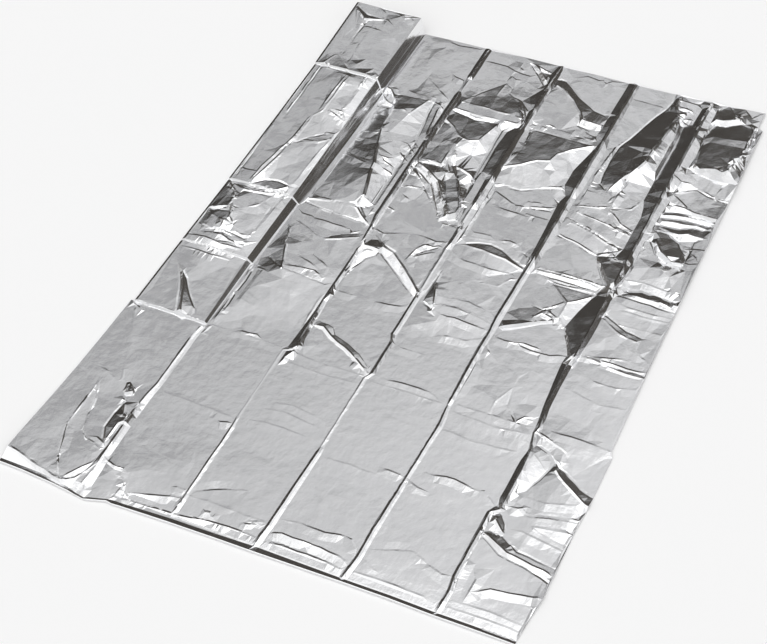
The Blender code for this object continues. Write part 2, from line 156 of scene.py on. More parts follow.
# Share of the light that is the light behind the sheet, and its gain, by half the angle from +Y
# towards +X, plus 90 degrees
BACK_SHARE = ((0, 0, 0, 0), (46, 0, 0, 0), (52, 2.4, 2.4, 2.4), (122, 2.4, 2.4, 2.4), (128, 0, 0, 0))
BACK_GAIN = (
    (0, 2.2, 2.2, 2.2),
    (54, 2.1, 2.1, 2.1),
    (59, 1.2, 1.2, 1.2),
    (63, 0.84, 0.84, 0.84),
    (68, 0.86, 0.86, 0.86),
    (75, 1.0, 1.0, 1.0),
    (83, 1.2, 1.2, 1.2),
    (90, 1.4, 1.4, 1.4),
    (180, 1.4, 1.4, 1.4),
)
LIGHT_STRENGTH = 2.4        # ramps hold light divided by this
MIX_INPUTS = (0, 6, 7)      # a Mix node's factor and its two colours
MIX_OUTPUT = 2

# Bends are given where the camera's line of sight through them meets the floor: a height of 1 mm
# moves a bend this many columns and rows from there
SIGHT = (0.001916, -0.003112)

# The front slopes up to its turned-under edge: (row, height in mm)
FRONT_LIFT = (
    (-0.42, 0.5), (-0.275, 0.5), (-0.255, 1.0), (-0.19, 1.7), (0.0, 2.4), (0.42, 1.4), (0.75, 0.0),
)

# The first column stands up from row 2 to the far edge. Columns are places across, lift is in mm
LIFTED = (
    # row, rim foot, rim top, wall top, wall foot, lift
    (1.990, 0.000, 0.015, 0.955, 0.990, 0),
    (1.998, 0.025, 0.050, 0.965, 1.000, 7),
    (2.920, 0.045, 0.075, 0.955, 1.015, 11),
    (2.930, 0.055, 0.090, 0.960, 1.040, 17),
    (3.895, 0.075, 0.120, 0.985, 1.070, 20),
    (3.905, 0.080, 0.125, 0.995, 1.080, 25),
    (5.000, 0.115, 0.160, 1.030, 1.115, 36),
    (5.855, 0.130, 0.185, 1.055, 1.130, 47),
    (5.865, 0.130, 0.190, 1.065, 1.135, 53),
    (6.990, 0.110, 0.165, 1.085, 1.140, 58),
)

WALL_PLEATS = (
    # share of the way down the wall, shares of the height: left, and how far the wall stands out
    (0.00, 1.00, 0.00),
    (0.42, 0.50, 0.03),
    (0.50, 0.44, 0.00),
    (0.74, 0.16, 0.02),
    (0.82, 0.12, 0.00),
    (1.00, 0.00, 0.00),
)

FRONT_EDGE = (
    # column, row, height in mm, rows to the foot of the edge's lip
    (-0.105, -0.356, 5, 0.047),
    (0.20, -0.360, 5, 0.048),
    (0.40, -0.372, 5, 0.056),
    (0.60, -0.384, 5, 0.048),
    (0.80, -0.404, 5, 0.038),
    (0.88, -0.414, 3, 0.026),
    (1.00, -0.428, 3, 0.022),
    (1.04, -0.424, 5, 0.036),
    (1.25, -0.364, 5, 0.032),
    (1.32, -0.374, 5, 0.050),
    (1.42, -0.368, 5, 0.044),
    (2.00, -0.349, 5, 0.054),
    (2.50, -0.339, 5, 0.054),
    (3.00, -0.334, 5, 0.066),
    (3.50, -0.324, 5, 0.054),
    (4.00, -0.314, 5, 0.042),
    (4.50, -0.309, 5, 0.044),
    (5.00, -0.314, 5, 0.044),
    (5.50, -0.309, 5, 0.042),
)
LEFT_EDGE = (
    # row, column, height in mm
    (1.50, -0.015, 1),
    (1.00, -0.040, 1),
    (0.50, -0.070, 3),
    (0.00, -0.100, 7),
    (-0.18, -0.108, 9),
    (-0.31, -0.105, 0),
)
RIGHT_EDGE = (
    # row, column, height in mm
    (-0.306, 5.88, 4),
    (-0.268, 5.88, 0),
    (0.00, 5.90, 1),
    (0.22, 5.93, 5),
    (1.00, 5.91, 1),
    (1.29, 5.92, 1),
    (1.34, 5.92, 8),
    (1.46, 5.92, 1),
    (1.97, 5.91, 1),
    (2.04, 5.87, 2),
    (3.00, 5.83, 5),
    (3.90, 5.81, 4),
    (4.10, 5.80, 9),
    (5.00, 5.78, 7),
    (5.90, 5.77, 12),
    (6.15, 5.76, 9),
    (6.84, 5.74, 4),
    (6.88, 5.67, 4),
)
FAR_EDGE = (
    # column, row, height in mm
    (5.67, 7.13, 3),
    (5.42, 7.11, 4),
    (5.22, 7.10, 1),
    (5.00, 7.08, 6),
    (4.90, 7.08, 2),
    (4.62, 7.07, 6),
    (4.53, 7.07, 2),
    (4.00, 7.06, 5),
    (3.92, 7.05, 1),
    (3.50, 7.05, 2),
    (3.03, 7.04, 4),
    (2.98, 7.04, 1),
    (2.50, 7.03, 2),
    (2.03, 7.01, 4),
    (1.98, 7.01, 1),
    (1.50, 7.00, 1),
)

# Long creases: low ridges along the sheet, by the column that each is near
FOOT, CREST, FAR_FOOT = range(3)
LONG_CREASES = {
    1: (
        # row, foot, crest, far foot, then their heights in mm
        (-0.262, 0.80, 0.88, 1.00, 3.5, 4, 0),
        (-0.05, 0.84, 0.90, 0.99, 3, 3.5, 0),
        (0.06, 0.85, 0.89, 0.98, 1.5, 3.5, 0),
        (0.20, 0.86, 0.89, 0.97, 1, 3.5, 0),
        (0.30, 0.86, 0.89, 0.97, 5, 7, 0),
        (0.52, 0.86, 0.885, 0.965, 5, 7, 0),
        (0.56, 0.86, 0.885, 0.965, 10, 10.5, 0),
        (0.63, 0.86, 0.885, 0.965, 10, 10.5, 0),
        (0.67, 0.86, 0.885, 0.965, 5, 7, 0),
        (0.73, 0.86, 0.885, 0.965, 4, 6, 0),
        (0.82, 0.865, 0.89, 0.965, 1, 3, 0),
        (0.95, 0.875, 0.90, 0.97, 1, 3, 0),
        (1.10, 0.90, 0.925, 0.985, 0, 2, 0),
        (1.75, 0.905, 0.93, 0.99, 0, 2, 0),
        (1.95, 0.93, 0.955, 1.0, 0, 1.5, 0),
    ),
    2: (
        (-0.262, 1.955, 1.975, 2.02, 0, 0.3, 0),
        (-0.20, 1.955, 1.975, 2.02, 0, 1.6, 0),
        (-0.05, 1.960, 1.980, 2.02, 0, 1.6, 0),
        (0.02, 1.960, 1.980, 2.02, 0, 0.6, 0),
        (0.90, 1.965, 1.985, 2.02, 0, 1.0, 0),
        (1.05, 1.955, 1.975, 2.02, 0, 0.2, 0),
        (1.99, 1.955, 1.975, 2.02, 0, 0.3, 0),
        (2.05, 2.005, 2.110, 2.15, 0, 8, 0),
        (2.10, 2.010, 2.115, 2.16, 0, 9, 1),
        (2.20, 2.015, 2.090, 2.13, 0, 7, 0),
        (2.50, 2.030, 2.075, 2.12, 0, 4.5, 0),
        (2.75, 2.030, 2.055, 2.10, 0, 2, 0),
        (2.85, 2.030, 2.085, 2.13, 0, 5, 0),
        (3.00, 2.030, 2.060, 2.10, 0, 2, 0),
        (3.45, 2.035, 2.060, 2.10, 0, 2, 0),
        (3.65, 2.030, 2.050, 2.09, 1, 2, 3),
        (3.90, 2.010, 2.040, 2.08, 0, 2.5, 1),
        (4.10, 1.975, 2.025, 2.08, 0, 5, 1),
        (5.00, 1.975, 2.025, 2.07, 1, 6, 1),
        (6.15, 1.975, 2.030, 2.07, 1, 6, 1),
        (6.22, 1.990, 2.030, 2.07, 1, 1.5, 1),
        (6.45, 1.990, 2.030, 2.07, 1, 2, 1),
        (6.50, 1.980, 2.035, 2.07, 1, 6, 1),
        (7.01, 1.980, 2.035, 2.07, 1, 6.5, 1),
    ),
    3: (
        (-0.262, 2.92, 2.955, 3.01, 0, 2, 0),
        (0.00, 2.945, 2.975, 3.03, 0, 2, 0),
        (0.40, 2.955, 2.985, 3.04, 0, 2, 0),
        (0.95, 2.975, 3.005, 3.05, 0, 2, 0),
        (1.02, 2.98, 3.00, 3.04, 0, 0.5, 0),
        (1.97, 2.98, 3.00, 3.04, 0, 0.6, 0),
        (2.05, 3.02, 3.055, 3.085, 0, 2.6, 0),
        (2.50, 3.02, 3.055, 3.085, 0, 2.4, 0),
        (2.60, 2.98, 3.01, 3.06, 0, 2, 0),
        (2.95, 2.985, 3.01, 3.06, 0, 2, 0),
        (3.15, 2.985, 3.01, 3.06, 0, 2, 0),
        (3.30, 2.97, 3.01, 3.07, 1, 2, 1),
        (3.90, 2.97, 3.00, 3.07, 1, 2, 1),
        (4.00, 2.98, 3.02, 3.07, 1, 4, 1),
        (4.22, 2.98, 3.02, 3.07, 1, 4, 1),
        (4.32, 2.95, 3.00, 3.08, 2, 3, 1),
        (4.55, 2.95, 3.00, 3.08, 2, 3, 1),
        (4.65, 2.965, 3.01, 3.08, 2, 6, 1),
        (5.00, 2.95, 3.01, 3.08, 2, 7, 2),
        (5.10, 2.86, 3.01, 3.07, 1, 11, 3),
        (5.50, 2.84, 3.00, 3.06, 1, 12, 3),
        (5.80, 2.86, 3.00, 3.05, 2, 11, 3),
        (5.97, 2.97, 3.01, 3.06, 5, 8, 3),
        (6.20, 2.96, 3.01, 3.06, 3, 8, 4),
        (6.33, 2.81, 3.00, 3.06, 2, 11, 4),
        (6.62, 2.97, 3.01, 3.06, 3, 8, 4),
        (6.90, 2.95, 3.02, 3.06, 2, 8, 2),
        (7.04, 2.98, 3.03, 3.07, 1, 5, 2),
    ),
    4: (
        (-0.262, 3.935, 3.965, 4.02, 0, 2, 0),
        (0.00, 3.97, 4.00, 4.05, 0, 2, 0),
        (0.35, 3.965, 3.995, 4.05, 0, 2, 0),
        (0.80, 3.985, 4.015, 4.06, 0, 2.2, 0),
        (1.00, 3.99, 4.02, 4.06, 0, 1.2, 0),
        (1.70, 4.01, 4.04, 4.09, 0, 1.8, 0),
        (1.97, 3.99, 4.01, 4.05, 0, 0.8, 0),
        (2.05, 3.98, 4.01, 4.045, 0, 2, 0.8),
        (2.80, 3.96, 3.995, 4.035, 0, 2.5, 0.8),
        (3.00, 3.97, 4.00, 4.05, 0, 1.5, 0),
        (3.20, 3.955, 3.985, 4.05, 0, 2, 0),
        (3.90, 3.965, 4.00, 4.06, 0, 3, 0),
        (4.00, 3.96, 4.00, 4.07, 3, 6, 1),
        (4.15, 3.95, 4.00, 4.08, 6, 10, 1),
        (4.50, 3.94, 4.00, 4.09, 5, 10.5, 2),
        (4.90, 3.92, 4.00, 4.08, 3, 9.5, 2),
        (5.00, 3.92, 4.00, 4.08, 1, 7.5, 2),
        (5.10, 3.95, 4.01, 4.08, 1, 6, 2),
        (5.25, 3.87, 4.00, 4.10, 1, 11, 3),
        (5.50, 3.87, 4.00, 4.10, 1, 11, 3),
        (5.95, 3.97, 4.01, 4.10, 4, 8, 2),
        (6.10, 3.90, 4.00, 4.07, 4, 9, 2),
        (6.30, 3.91, 4.00, 4.07, 3, 9, 2),
        (6.50, 3.91, 4.00, 4.07, 2, 9, 2),
        (7.06, 3.92, 4.00, 4.06, 2, 8, 2),
    ),
    5: (
        (-0.262, 4.985, 5.015, 5.06, 0, 2, 0),
        (0.00, 5.00, 5.03, 5.07, 0, 2, 0),
        (0.15, 4.975, 5.005, 5.05, 0, 2.4, 0),
        (0.94, 4.975, 5.005, 5.05, 0, 2.7, 0),
        (1.02, 5.025, 5.085, 5.15, 0, 6, 0),
        (1.25, 5.03, 5.09, 5.14, 0, 6.5, 4),
        (1.40, 5.03, 5.09, 5.13, 0, 7.5, 6),
        (1.62, 5.03, 5.085, 5.13, 0, 7, 6),
        (1.75, 5.05, 5.08, 5.13, 0, 5, 5),
        (1.84, 5.03, 5.06, 5.10, 0, 2, 1),
        (1.97, 5.00, 5.02, 5.05, 0, 1, 0),
        (2.05, 5.00, 5.04, 5.08, 0, 2.5, 0),
        (2.30, 4.965, 5.005, 5.04, 0, 5, 0),
        (2.60, 4.935, 4.995, 5.03, 0, 7, 1),
        (2.90, 4.91, 4.98, 5.03, 0, 9, 1),
        (2.98, 4.94, 5.00, 5.05, 2, 16, 1),
        (3.02, 4.955, 5.00, 5.05, 18, 20, 2),
        (3.18, 4.86, 5.00, 5.06, 10, 21, 3),
        (3.335, 4.765, 5.00, 5.07, 2, 20, 3),
        (3.38, 4.745, 5.00, 5.07, 0, 20, 3),
        (3.60, 4.79, 5.00, 5.07, 0, 18, 3),
        (3.90, 4.88, 5.00, 5.07, 0, 13, 3),
        (4.04, 4.925, 5.00, 5.06, 2, 14, 3),
        (4.075, 4.95, 5.00, 5.06, 21, 22, 3),
        (4.235, 4.81, 5.00, 5.07, 12, 17, 3),
        (4.40, 4.67, 5.00, 5.08, 2, 12, 4),
        (4.46, 4.86, 5.00, 5.08, 4, 14, 4),
        (4.60, 4.90, 5.00, 5.08, 3, 10, 4),
        (5.10, 4.90, 5.00, 5.09, 3, 10, 4),
        (5.25, 4.87, 4.99, 5.10, 2, 13, 4),
        (5.35, 4.83, 4.99, 5.11, 1, 15, 5),
        (6.00, 4.83, 4.99, 5.13, 1, 15, 6),
        (6.60, 4.83, 4.99, 5.12, 2, 16, 6),
        (6.66, 4.91, 4.99, 5.10, 3, 13, 5),
        (6.95, 4.92, 4.99, 5.10, 2, 11, 4),
        (7.02, 4.87, 5.00, 5.10, 1, 13, 4),
        (7.08, 4.90, 5.00, 5.09, 2, 6, 3),
    ),
}

# Folds that bound the facets inside the cells, by name: (column, row, height in mm) at each bend
FOLDS = {
    # front, first two columns
    "nose": ((-0.11, -0.15, 9), (0.1, -0.19, 9), (0.3, -0.245, 8), (0.62, -0.305, 6), (0.7, -0.285, 5.5),
        (0.78, -0.23, 5), (0.83, -0.13, 4.5), (0.87, -0.02, 3.5), (0.9, 0.05, 3)),
    "nose crease": ((0.3, 0.3, 2), (0.42, 0.0, 3), (0.62, -0.305, 6)),
    "second front": ((0.99, 0.06, 2), (1.1, 0.03, 3), (1.2, 0.03, 3), (1.31, -0.06, 2), (1.37, -0.22, 1)),
    "inner loop": ((0.28, 0.86, 1), (0.31, 0.6, 2), (0.31, 0.3, 2)),
    "outer loop": ((0.28, 0.86, 1), (0.38, 0.75, 0), (0.44, 0.55, 0), (0.5, 0.3, 1), (0.62, 0.22, 2),
        (0.82, 0.17, 2)),
    "dent foot": ((0.72, 0.78, 1), (0.7, 0.6, 0), (0.7, 0.42, 0), (0.77, 0.29, 1)),
    "dent crest": ((0.75, 0.74, 4), (0.8, 0.64, 6), (0.81, 0.45, 6), (0.81, 0.31, 4)),
    "dent arm": ((0.8, 0.64, 6), (0.855, 0.635, 9.5), (0.855, 0.56, 9.5), (0.81, 0.52, 6)),
    "chip": ((0.61, 1.01, 0), (0.73, 0.925, 6.5), (0.66, 0.88, 7), (0.61, 1.01, 0)),
    "chip foot": ((0.62, 0.89, 0), (0.66, 0.85, 0), (0.75, 0.88, 0), (0.76, 0.96, 0)),
    "long tone of row 1": ((0.1, 1.95, 1), (0.42, 1.25, 1), (0.52, 1.03, 1)),
    "dart": ((0.33, 2.56, 2), (0.46, 2.35, 8), (0.6, 2.07, 13)),
    "dart ridge": ((0.33, 2.56, 2), (0.43, 2.48, 1), (0.6, 2.28, 0), (0.84, 2.06, 0)),
    "dart foot": ((0.31, 2.53, 0), (0.44, 2.32, 1), (0.57, 2.04, 1)),
    "foot of row 2": ((0.05, 1.978, 0), (0.5, 1.978, 0), (0.91, 1.978, 0)),
    # first column, rows 3 and 4
    "row 3 grey": ((0.09, 3.86, 1), (0.25, 3.8, 6), (0.31, 3.66, 10), (0.26, 3.58, 9), (0.1, 3.5, 1)),
    "row 3 stroke": ((0.26, 3.58, 9), (0.34, 3.6, 12), (0.4, 3.53, 12), (0.41, 3.44, 12), (0.5, 3.34, 9)),
    "row 3 low": ((0.14, 3.49, 1), (0.35, 3.53, 10), (0.41, 3.44, 12)),
    "row 3 low side": ((0.12, 3.42, 0), (0.38, 3.38, 13), (0.41, 3.26, 9), (0.12, 3.26, 0)),
    "row 3 foot": ((0.25, 3.16, 2), (0.45, 3.22, 5), (0.6, 3.2, 5), (0.8, 3.17, 4)),
    "row 3 mid": ((0.35, 3.62, 10), (0.46, 3.6, 9), (0.62, 3.72, 7), (0.72, 3.9, 4)),
    "row 3 top": ((0.33, 3.72, 9), (0.36, 3.86, 4), (0.72, 3.9, 4)),
    "row 3 strip": ((0.78, 3.28, 4), (0.8, 3.7, 2), (0.83, 4.02, 2)),
    "row 4 lens near": ((0.38, 3.98, 4), (0.6, 3.96, 6), (0.71, 3.99, 6), (0.82, 4.09, 3)),
    "row 4 lens far": ((0.38, 3.98, 4), (0.5, 4.09, 1.5), (0.68, 4.13, 1), (0.82, 4.11, 2)),
    "row 4 long": ((0.36, 4.0, 4), (0.41, 4.22, 6), (0.47, 4.52, 6), (0.51, 4.8, 5), (0.52, 5.2, 5)),
    "row 4 left": ((0.14, 4.05, 0), (0.14, 4.9, 1)),
    "row 5 lens": ((0.56, 4.76, 4), (0.66, 4.88, 3), (0.8, 4.98, 2), (0.92, 4.94, 3), (0.8, 4.84, 4.5),
        (0.56, 4.76, 4)),
    # first column, rows 5 and 6
    "row 5 left": ((0.2, 5.15, 0), (0.2, 6.0, 0)),
    "row 5 long": ((0.52, 5.2, 5), (0.59, 5.32, 7), (0.6, 5.7, 9), (0.62, 5.94, 8)),
    "row 5 right": ((0.83, 5.45, 6), (0.82, 6.0, 6)),
    "row 6 line": ((0.19, 6.0, 1), (0.4, 5.98, 4), (0.62, 5.94, 8)),
    "row 6 point": ((0.2, 6.05, 2), (0.28, 6.25, 0), (0.55, 6.05, 3)),
    "row 6 streak": ((0.34, 6.3, 0), (0.34, 6.9, 0)),
    "row 6 streak side": ((0.47, 6.2, 1), (0.46, 6.85, 1)),
    "far lens": ((0.1, 6.985, 1), (0.3, 7.0, 0), (0.55, 6.99, 1)),
    "far lens foot": ((0.1, 6.985, 1), (0.3, 6.92, 5), (0.55, 6.99, 1)),
    "far corner": ((0.66, 7.14, 1), (0.78, 7.1, 3), (0.88, 7.14, 1)),
    # second column
    "wall triangle": ((1.12, 3.6, 0), (1.2, 3.42, 4), (1.28, 3.22, 8), (1.37, 3.0, 11)),
    "wall triangle foot": ((1.14, 3.1, 0), (1.24, 3.05, 4), (1.37, 3.0, 11)),
    "row 3 streak": ((1.6, 3.54, 1.5), (1.75, 3.6, 2.5), (1.96, 3.7, 1.5)),
    "row 3 streak far": ((1.66, 3.62, 0), (1.8, 3.7, 0), (1.95, 3.76, 0)),
    "row 4 line": ((1.12, 3.97, 0), (1.5, 3.93, 0), (1.9, 3.91, 0)),
    "row 4 wedge": ((1.12, 4.03, 2), (1.4, 4.09, 4), (1.6, 4.115, 6), (1.74, 4.09, 6), (1.85, 4.0, 4),
        (1.97, 3.92, 1)),
    "row 4 shade": ((1.66, 4.14, 7), (1.78, 4.13, 3), (1.9, 4.02, 1)),
    "lobe foot": ((1.15, 4.22, 0), (1.16, 4.78, 0), (1.16, 5.1, 0), (1.18, 5.64, 1)),
    "lobe ridge": ((1.72, 4.16, 8), (1.72, 4.3, 15), (1.67, 4.47, 19), (1.62, 4.62, 20), (1.59, 4.79, 19),
        (1.51, 5.0, 16)),
    "lobe ridge back": ((1.51, 5.0, 16), (1.44, 5.22, 12), (1.38, 5.4, 10), (1.38, 5.66, 10),
        (1.5, 5.7, 12), (1.6, 5.66, 11)),
    "lobe top": ((1.6, 5.66, 11), (1.66, 5.8, 9), (1.72, 5.94, 6), (1.8, 5.98, 4)),
    "lobe edge": ((1.88, 4.22, 0), (1.88, 4.8, 0), (1.9, 5.2, 0), (1.86, 5.5, 0), (1.82, 5.75, 1),
        (1.8, 5.98, 4)),
    "lobe side": ((1.97, 5.35, 3), (1.93, 5.7, 4), (1.9, 5.96, 4)),
    "dark block": ((1.3, 5.91, 3), (1.5, 5.93, 5), (1.72, 5.94, 6)),
    "dark block side": ((1.3, 5.91, 3), (1.36, 5.76, 7), (1.38, 5.66, 10)),
    "white patch": ((1.13, 5.97, 5), (1.2, 5.95, 6), (1.35, 5.76, 4), (1.33, 5.68, 0), (1.18, 5.67, 0)),
    "row 6 band": ((1.2, 6.01, 4), (1.5, 6.0, 5), (1.76, 6.01, 5)),
    # third column
    "arc of row 2": ((2.1, 2.47, 0), (2.28, 2.48, 0), (2.36, 2.46, 0), (2.42, 2.38, 0), (2.62, 2.32, 0),
        (2.8, 2.24, 0), (2.97, 2.12, 0)),
    "arc of row 2 near": ((2.1, 2.41, 2), (2.24, 2.42, 3.5), (2.37, 2.34, 3.5), (2.6, 2.25, 4.5),
        (2.78, 2.16, 4), (3.0, 2.03, 1)),
    "arc of row 2 foot": ((2.1, 2.36, 0), (2.24, 2.37, 0), (2.36, 2.29, 0), (2.6, 2.21, 0),
        (2.78, 2.12, 0)),
    "lobe of row 3": ((2.11, 3.14, 1), (2.13, 3.3, 2), (2.2, 3.44, 3), (2.28, 3.53, 3)),
    "lobe rise": ((2.09, 3.2, 3), (2.1, 3.58, 8), (2.28, 3.62, 10)),
    "corner patch": ((2.06, 3.67, 9), (2.1, 3.62, 11), (2.28, 3.62, 10), (2.31, 3.67, 9)),
    "corner patch foot": ((2.05, 3.9, 1), (2.15, 3.82, 1), (2.26, 3.74, 2), (2.31, 3.67, 9)),
    "pleat foot": ((2.33, 3.59, 1), (2.6, 3.41, 1), (2.96, 3.15, 1)),
    "pleat crest": ((2.34, 3.66, 9), (2.46, 3.63, 9), (2.64, 3.5, 9), (3.0, 3.21, 7)),
    "pleat back": ((2.37, 3.685, 3), (2.475, 3.655, 2), (2.66, 3.525, 2), (3.02, 3.235, 2)),
    "grey facet": ((2.1, 3.98, 1), (2.2, 4.2, 0), (2.3, 4.42, 0), (2.36, 4.6, 2)),
    "light facet": ((2.07, 4.57, 2), (2.2, 4.6, 3), (2.36, 4.6, 2)),
    "light facet top": ((2.05, 4.88, 7), (2.2, 4.77, 5), (2.34, 4.66, 2)),
    "stripe foot": ((2.04, 4.93, 5), (2.2, 4.84, 4), (2.37, 4.73, 4), (2.545, 4.48, 0.5), (2.71, 4.235, 0)),
    "stripe crest": ((2.05, 5.0, 8), (2.26, 4.9, 10), (2.44, 4.79, 13), (2.6, 4.56, 9.5), (2.76, 4.33, 6)),
    "blob left": ((2.5, 4.82, 4), (2.64, 4.59, 9), (2.8, 4.37, 15)),
    "blob ridge": ((2.86, 4.42, 16), (2.86, 4.52, 15), (2.79, 4.66, 12), (2.7, 4.8, 8), (2.61, 4.95, 4.5),
        (2.5, 5.08, 2)),
    "blob end": ((2.8, 4.37, 15), (2.86, 4.42, 16)),
    "blob outside": ((2.76, 4.25, 0), (2.9, 4.34, 0), (2.91, 4.52, 0)),
    "blob top": ((2.5, 5.08, 2), (2.62, 5.06, 9), (2.74, 5.02, 11), (2.8, 4.98, 8)),
    "blob ridge back": ((2.5, 5.08, 2), (2.42, 5.22, 8), (2.38, 5.4, 11), (2.41, 5.51, 12)),
    "white blob": ((2.12, 5.0, 3), (2.36, 5.03, 6), (2.48, 4.95, 7)),
    "triangle": ((2.1, 5.05, 3), (2.35, 5.05, 9), (2.34, 5.52, 9), (2.17, 5.3, 3), (2.1, 5.05, 3)),
    "shade near": ((2.07, 5.73, 5.5), (2.2, 5.66, 6.5), (2.34, 5.54, 9.5), (2.41, 5.51, 12),
        (2.5, 5.51, 12), (2.6, 5.55, 11), (2.65, 5.7, 9), (2.71, 5.88, 7)),
    "shade far": ((2.09, 5.9, 1), (2.22, 5.88, 1), (2.4, 5.85, 2), (2.55, 5.87, 4), (2.71, 5.88, 7)),
    "shade divide": ((2.34, 5.54, 9.5), (2.34, 5.86, 1.5)),
    "row 6 near": ((2.1, 5.94, 3), (2.5, 5.93, 6.5), (2.9, 5.95, 9.5)),
    "row 6 base": ((2.12, 6.07, 4), (2.5, 6.07, 8.5), (2.93, 6.05, 11)),
    "pentagon": ((2.12, 6.07, 4), (2.22, 6.22, 2.2), (2.33, 6.36, 1), (2.42, 6.46, 0.5), (2.5, 6.55, 0),
        (2.6, 6.5, 0), (2.61, 6.4, 1.2), (2.78, 6.31, 4), (2.93, 6.05, 11)),
    "pentagon spine": ((2.5, 6.07, 8.5), (2.47, 6.3, 3.5), (2.5, 6.55, 0)),
    "blob right": ((2.84, 4.6, 1), (2.82, 5.0, 0), (2.8, 5.4, 0), (2.79, 5.8, 2), (2.92, 5.96, 9)),
    "far crumple": ((2.65, 6.94, 1), (2.8, 6.82, 1), (2.95, 6.67, 1)),
    "far crumple crest": ((2.7, 6.95, 3), (2.82, 6.86, 5), (2.92, 6.76, 6)),
    "far white": ((2.84, 6.88, 1), (2.94, 6.87, 2), (2.92, 6.76, 6)),
    # fourth column
    "sliver": ((3.1, 3.6, 1), (3.12, 3.42, 4), (3.2, 3.24, 8), (3.25, 3.09, 7)),
    "sliver foot": ((3.1, 3.6, 1), (3.09, 3.2, 0), (3.1, 3.12, 0), (3.25, 3.07, 2)),
    "shade of row 3": ((3.58, 3.6, 0.5), (3.8, 3.62, 1.2), (3.9, 3.76, 1)),
    "shade of row 3 far": ((3.66, 3.7, 0), (3.88, 3.84, 0)),
    "arc of row 4": ((3.18, 4.03, 2), (3.4, 4.03, 4), (3.7, 4.0, 4), (3.96, 3.93, 1.5)),
    "arc of row 4 far": ((3.18, 4.05, 1), (3.32, 4.1, 0.5), (3.46, 4.13, 0.5), (3.62, 4.1, 0.5),
        (3.78, 4.02, 1), (3.96, 3.95, 0.5)),
    "grey panel": ((3.13, 4.14, 1.5), (3.13, 4.94, 0), (3.22, 4.99, 0), (3.42, 5.0, 1), (3.6, 5.09, 2),
        (3.74, 5.14, 3), (3.84, 5.02, 2), (3.92, 4.98, 1)),
    "band edge": ((3.09, 4.1, 2), (3.09, 4.98, 2), (3.2, 5.02, 1), (3.4, 5.04, 2), (3.6, 5.13, 3),
        (3.85, 5.2, 4)),
    "grey panel near": ((3.13, 4.14, 1.5), (3.5, 4.2, 1.5), (3.88, 4.14, 3)),
    "shade of row 5": ((3.06, 5.27, 8), (3.25, 5.38, 11.5), (3.4, 5.5, 12), (3.54, 5.54, 13.5),
        (3.58, 5.67, 12), (3.72, 5.8, 10), (3.93, 5.94, 7)),
    "shade of row 5 far": ((3.13, 5.94, 0), (3.5, 5.94, 4), (3.93, 5.94, 7)),
    "shade left": ((3.13, 5.94, 0), (3.16, 5.65, 5), (3.1, 5.45, 7), (3.06, 5.27, 8)),
    "row 6 level": ((3.1, 6.03, 1.5), (3.5, 6.03, 4.5), (3.9, 6.02, 6)),
    "band far": ((3.1, 6.83, 1), (3.18, 6.82, 1), (3.45, 6.62, 1), (3.7, 6.48, 1), (3.85, 6.45, 1),
        (3.92, 6.47, 2)),
    "band near": ((3.1, 6.72, 7), (3.2, 6.68, 8), (3.4, 6.55, 8), (3.55, 6.4, 9), (3.62, 6.29, 9),
        (3.89, 6.27, 8)),
    "white step": ((3.62, 6.27, 9), (3.62, 6.19, 4), (3.89, 6.14, 4)),
    "step shade": ((3.62, 6.19, 4), (3.74, 6.14, 4.5), (3.9, 6.05, 5.5)),
    # fifth column
    "white of row 2": ((4.47, 2.02, 1), (4.46, 2.2, 2), (4.56, 2.42, 1), (4.6, 2.2, 0), (4.78, 2.02, 0)),
    "corner of row 2": ((4.76, 2.02, 3), (4.84, 2.12, 2), (4.95, 2.12, 0)),
    "grey of row 3": ((4.08, 3.6, 0), (4.16, 3.58, 0), (4.3, 3.5, 1.5), (4.41, 3.49, 2.5), (4.37, 3.42, 5),
        (4.35, 3.36, 6.5)),
    "grey of row 3 near": ((4.09, 3.13, 9), (4.25, 3.22, 9), (4.35, 3.28, 8), (4.46, 3.335, 6),
        (4.57, 3.385, 6)),
    "foot of row 3 grey": ((4.11, 3.1, 0), (4.27, 3.18, 0), (4.45, 3.28, 0), (4.6, 3.35, 1)),
    "lens of row 3": ((4.35, 3.36, 3.5), (4.42, 3.44, 6), (4.56, 3.41, 6), (4.52, 3.375, 3),
        (4.35, 3.36, 3.5)),
    "hexagon": ((4.41, 3.49, 2.5), (4.52, 3.55, 3.5), (4.62, 3.67, 5.5)),
    "triangle of row 3": ((4.62, 3.67, 5.5), (4.34, 3.87, 0), (4.88, 3.87, 0), (4.62, 3.67, 5.5)),
    "strip of row 3": ((4.62, 3.67, 5.5), (4.62, 3.45, 4), (4.72, 3.34, 1)),
    "low wedge": ((4.735, 3.32, 0), (4.84, 3.16, 0), (4.925, 3.01, 0)),
    "facet of row 4": ((4.12, 4.53, 1), (4.4, 4.47, 1), (4.64, 4.39, 0), (4.78, 4.22, 0), (4.91, 4.05, 0)),
    "high wedge top": ((4.67, 4.4, 2), (4.83, 4.42, 7), (5.0, 4.4, 12)),
    "facet near": ((4.12, 4.02, 2), (4.5, 4.03, 5), (4.88, 4.02, 3)),
    "light triangle": ((4.18, 4.75, 4), (4.5, 4.68, 5), (4.82, 4.58, 5)),
    "fan 1": ((4.12, 4.81, 3), (4.42, 4.73, 4), (4.62, 4.68, 4), (4.83, 4.6, 3)),
    "fan 2": ((4.18, 4.93, 5), (4.42, 4.88, 5), (4.62, 4.84, 5), (4.88, 4.8, 4)),
    "fan 3": ((4.14, 5.0, 4), (4.4, 5.05, 6), (4.5, 5.1, 6), (4.6, 5.01, 6), (4.72, 4.91, 5),
        (4.88, 4.85, 4)),
    "grey foot": ((4.15, 5.05, 4), (4.14, 5.4, 3), (4.18, 5.9, 3)),
    "grey of row 5": ((4.15, 5.05, 4), (4.45, 5.12, 6), (4.52, 5.4, 7), (4.54, 5.56, 8)),
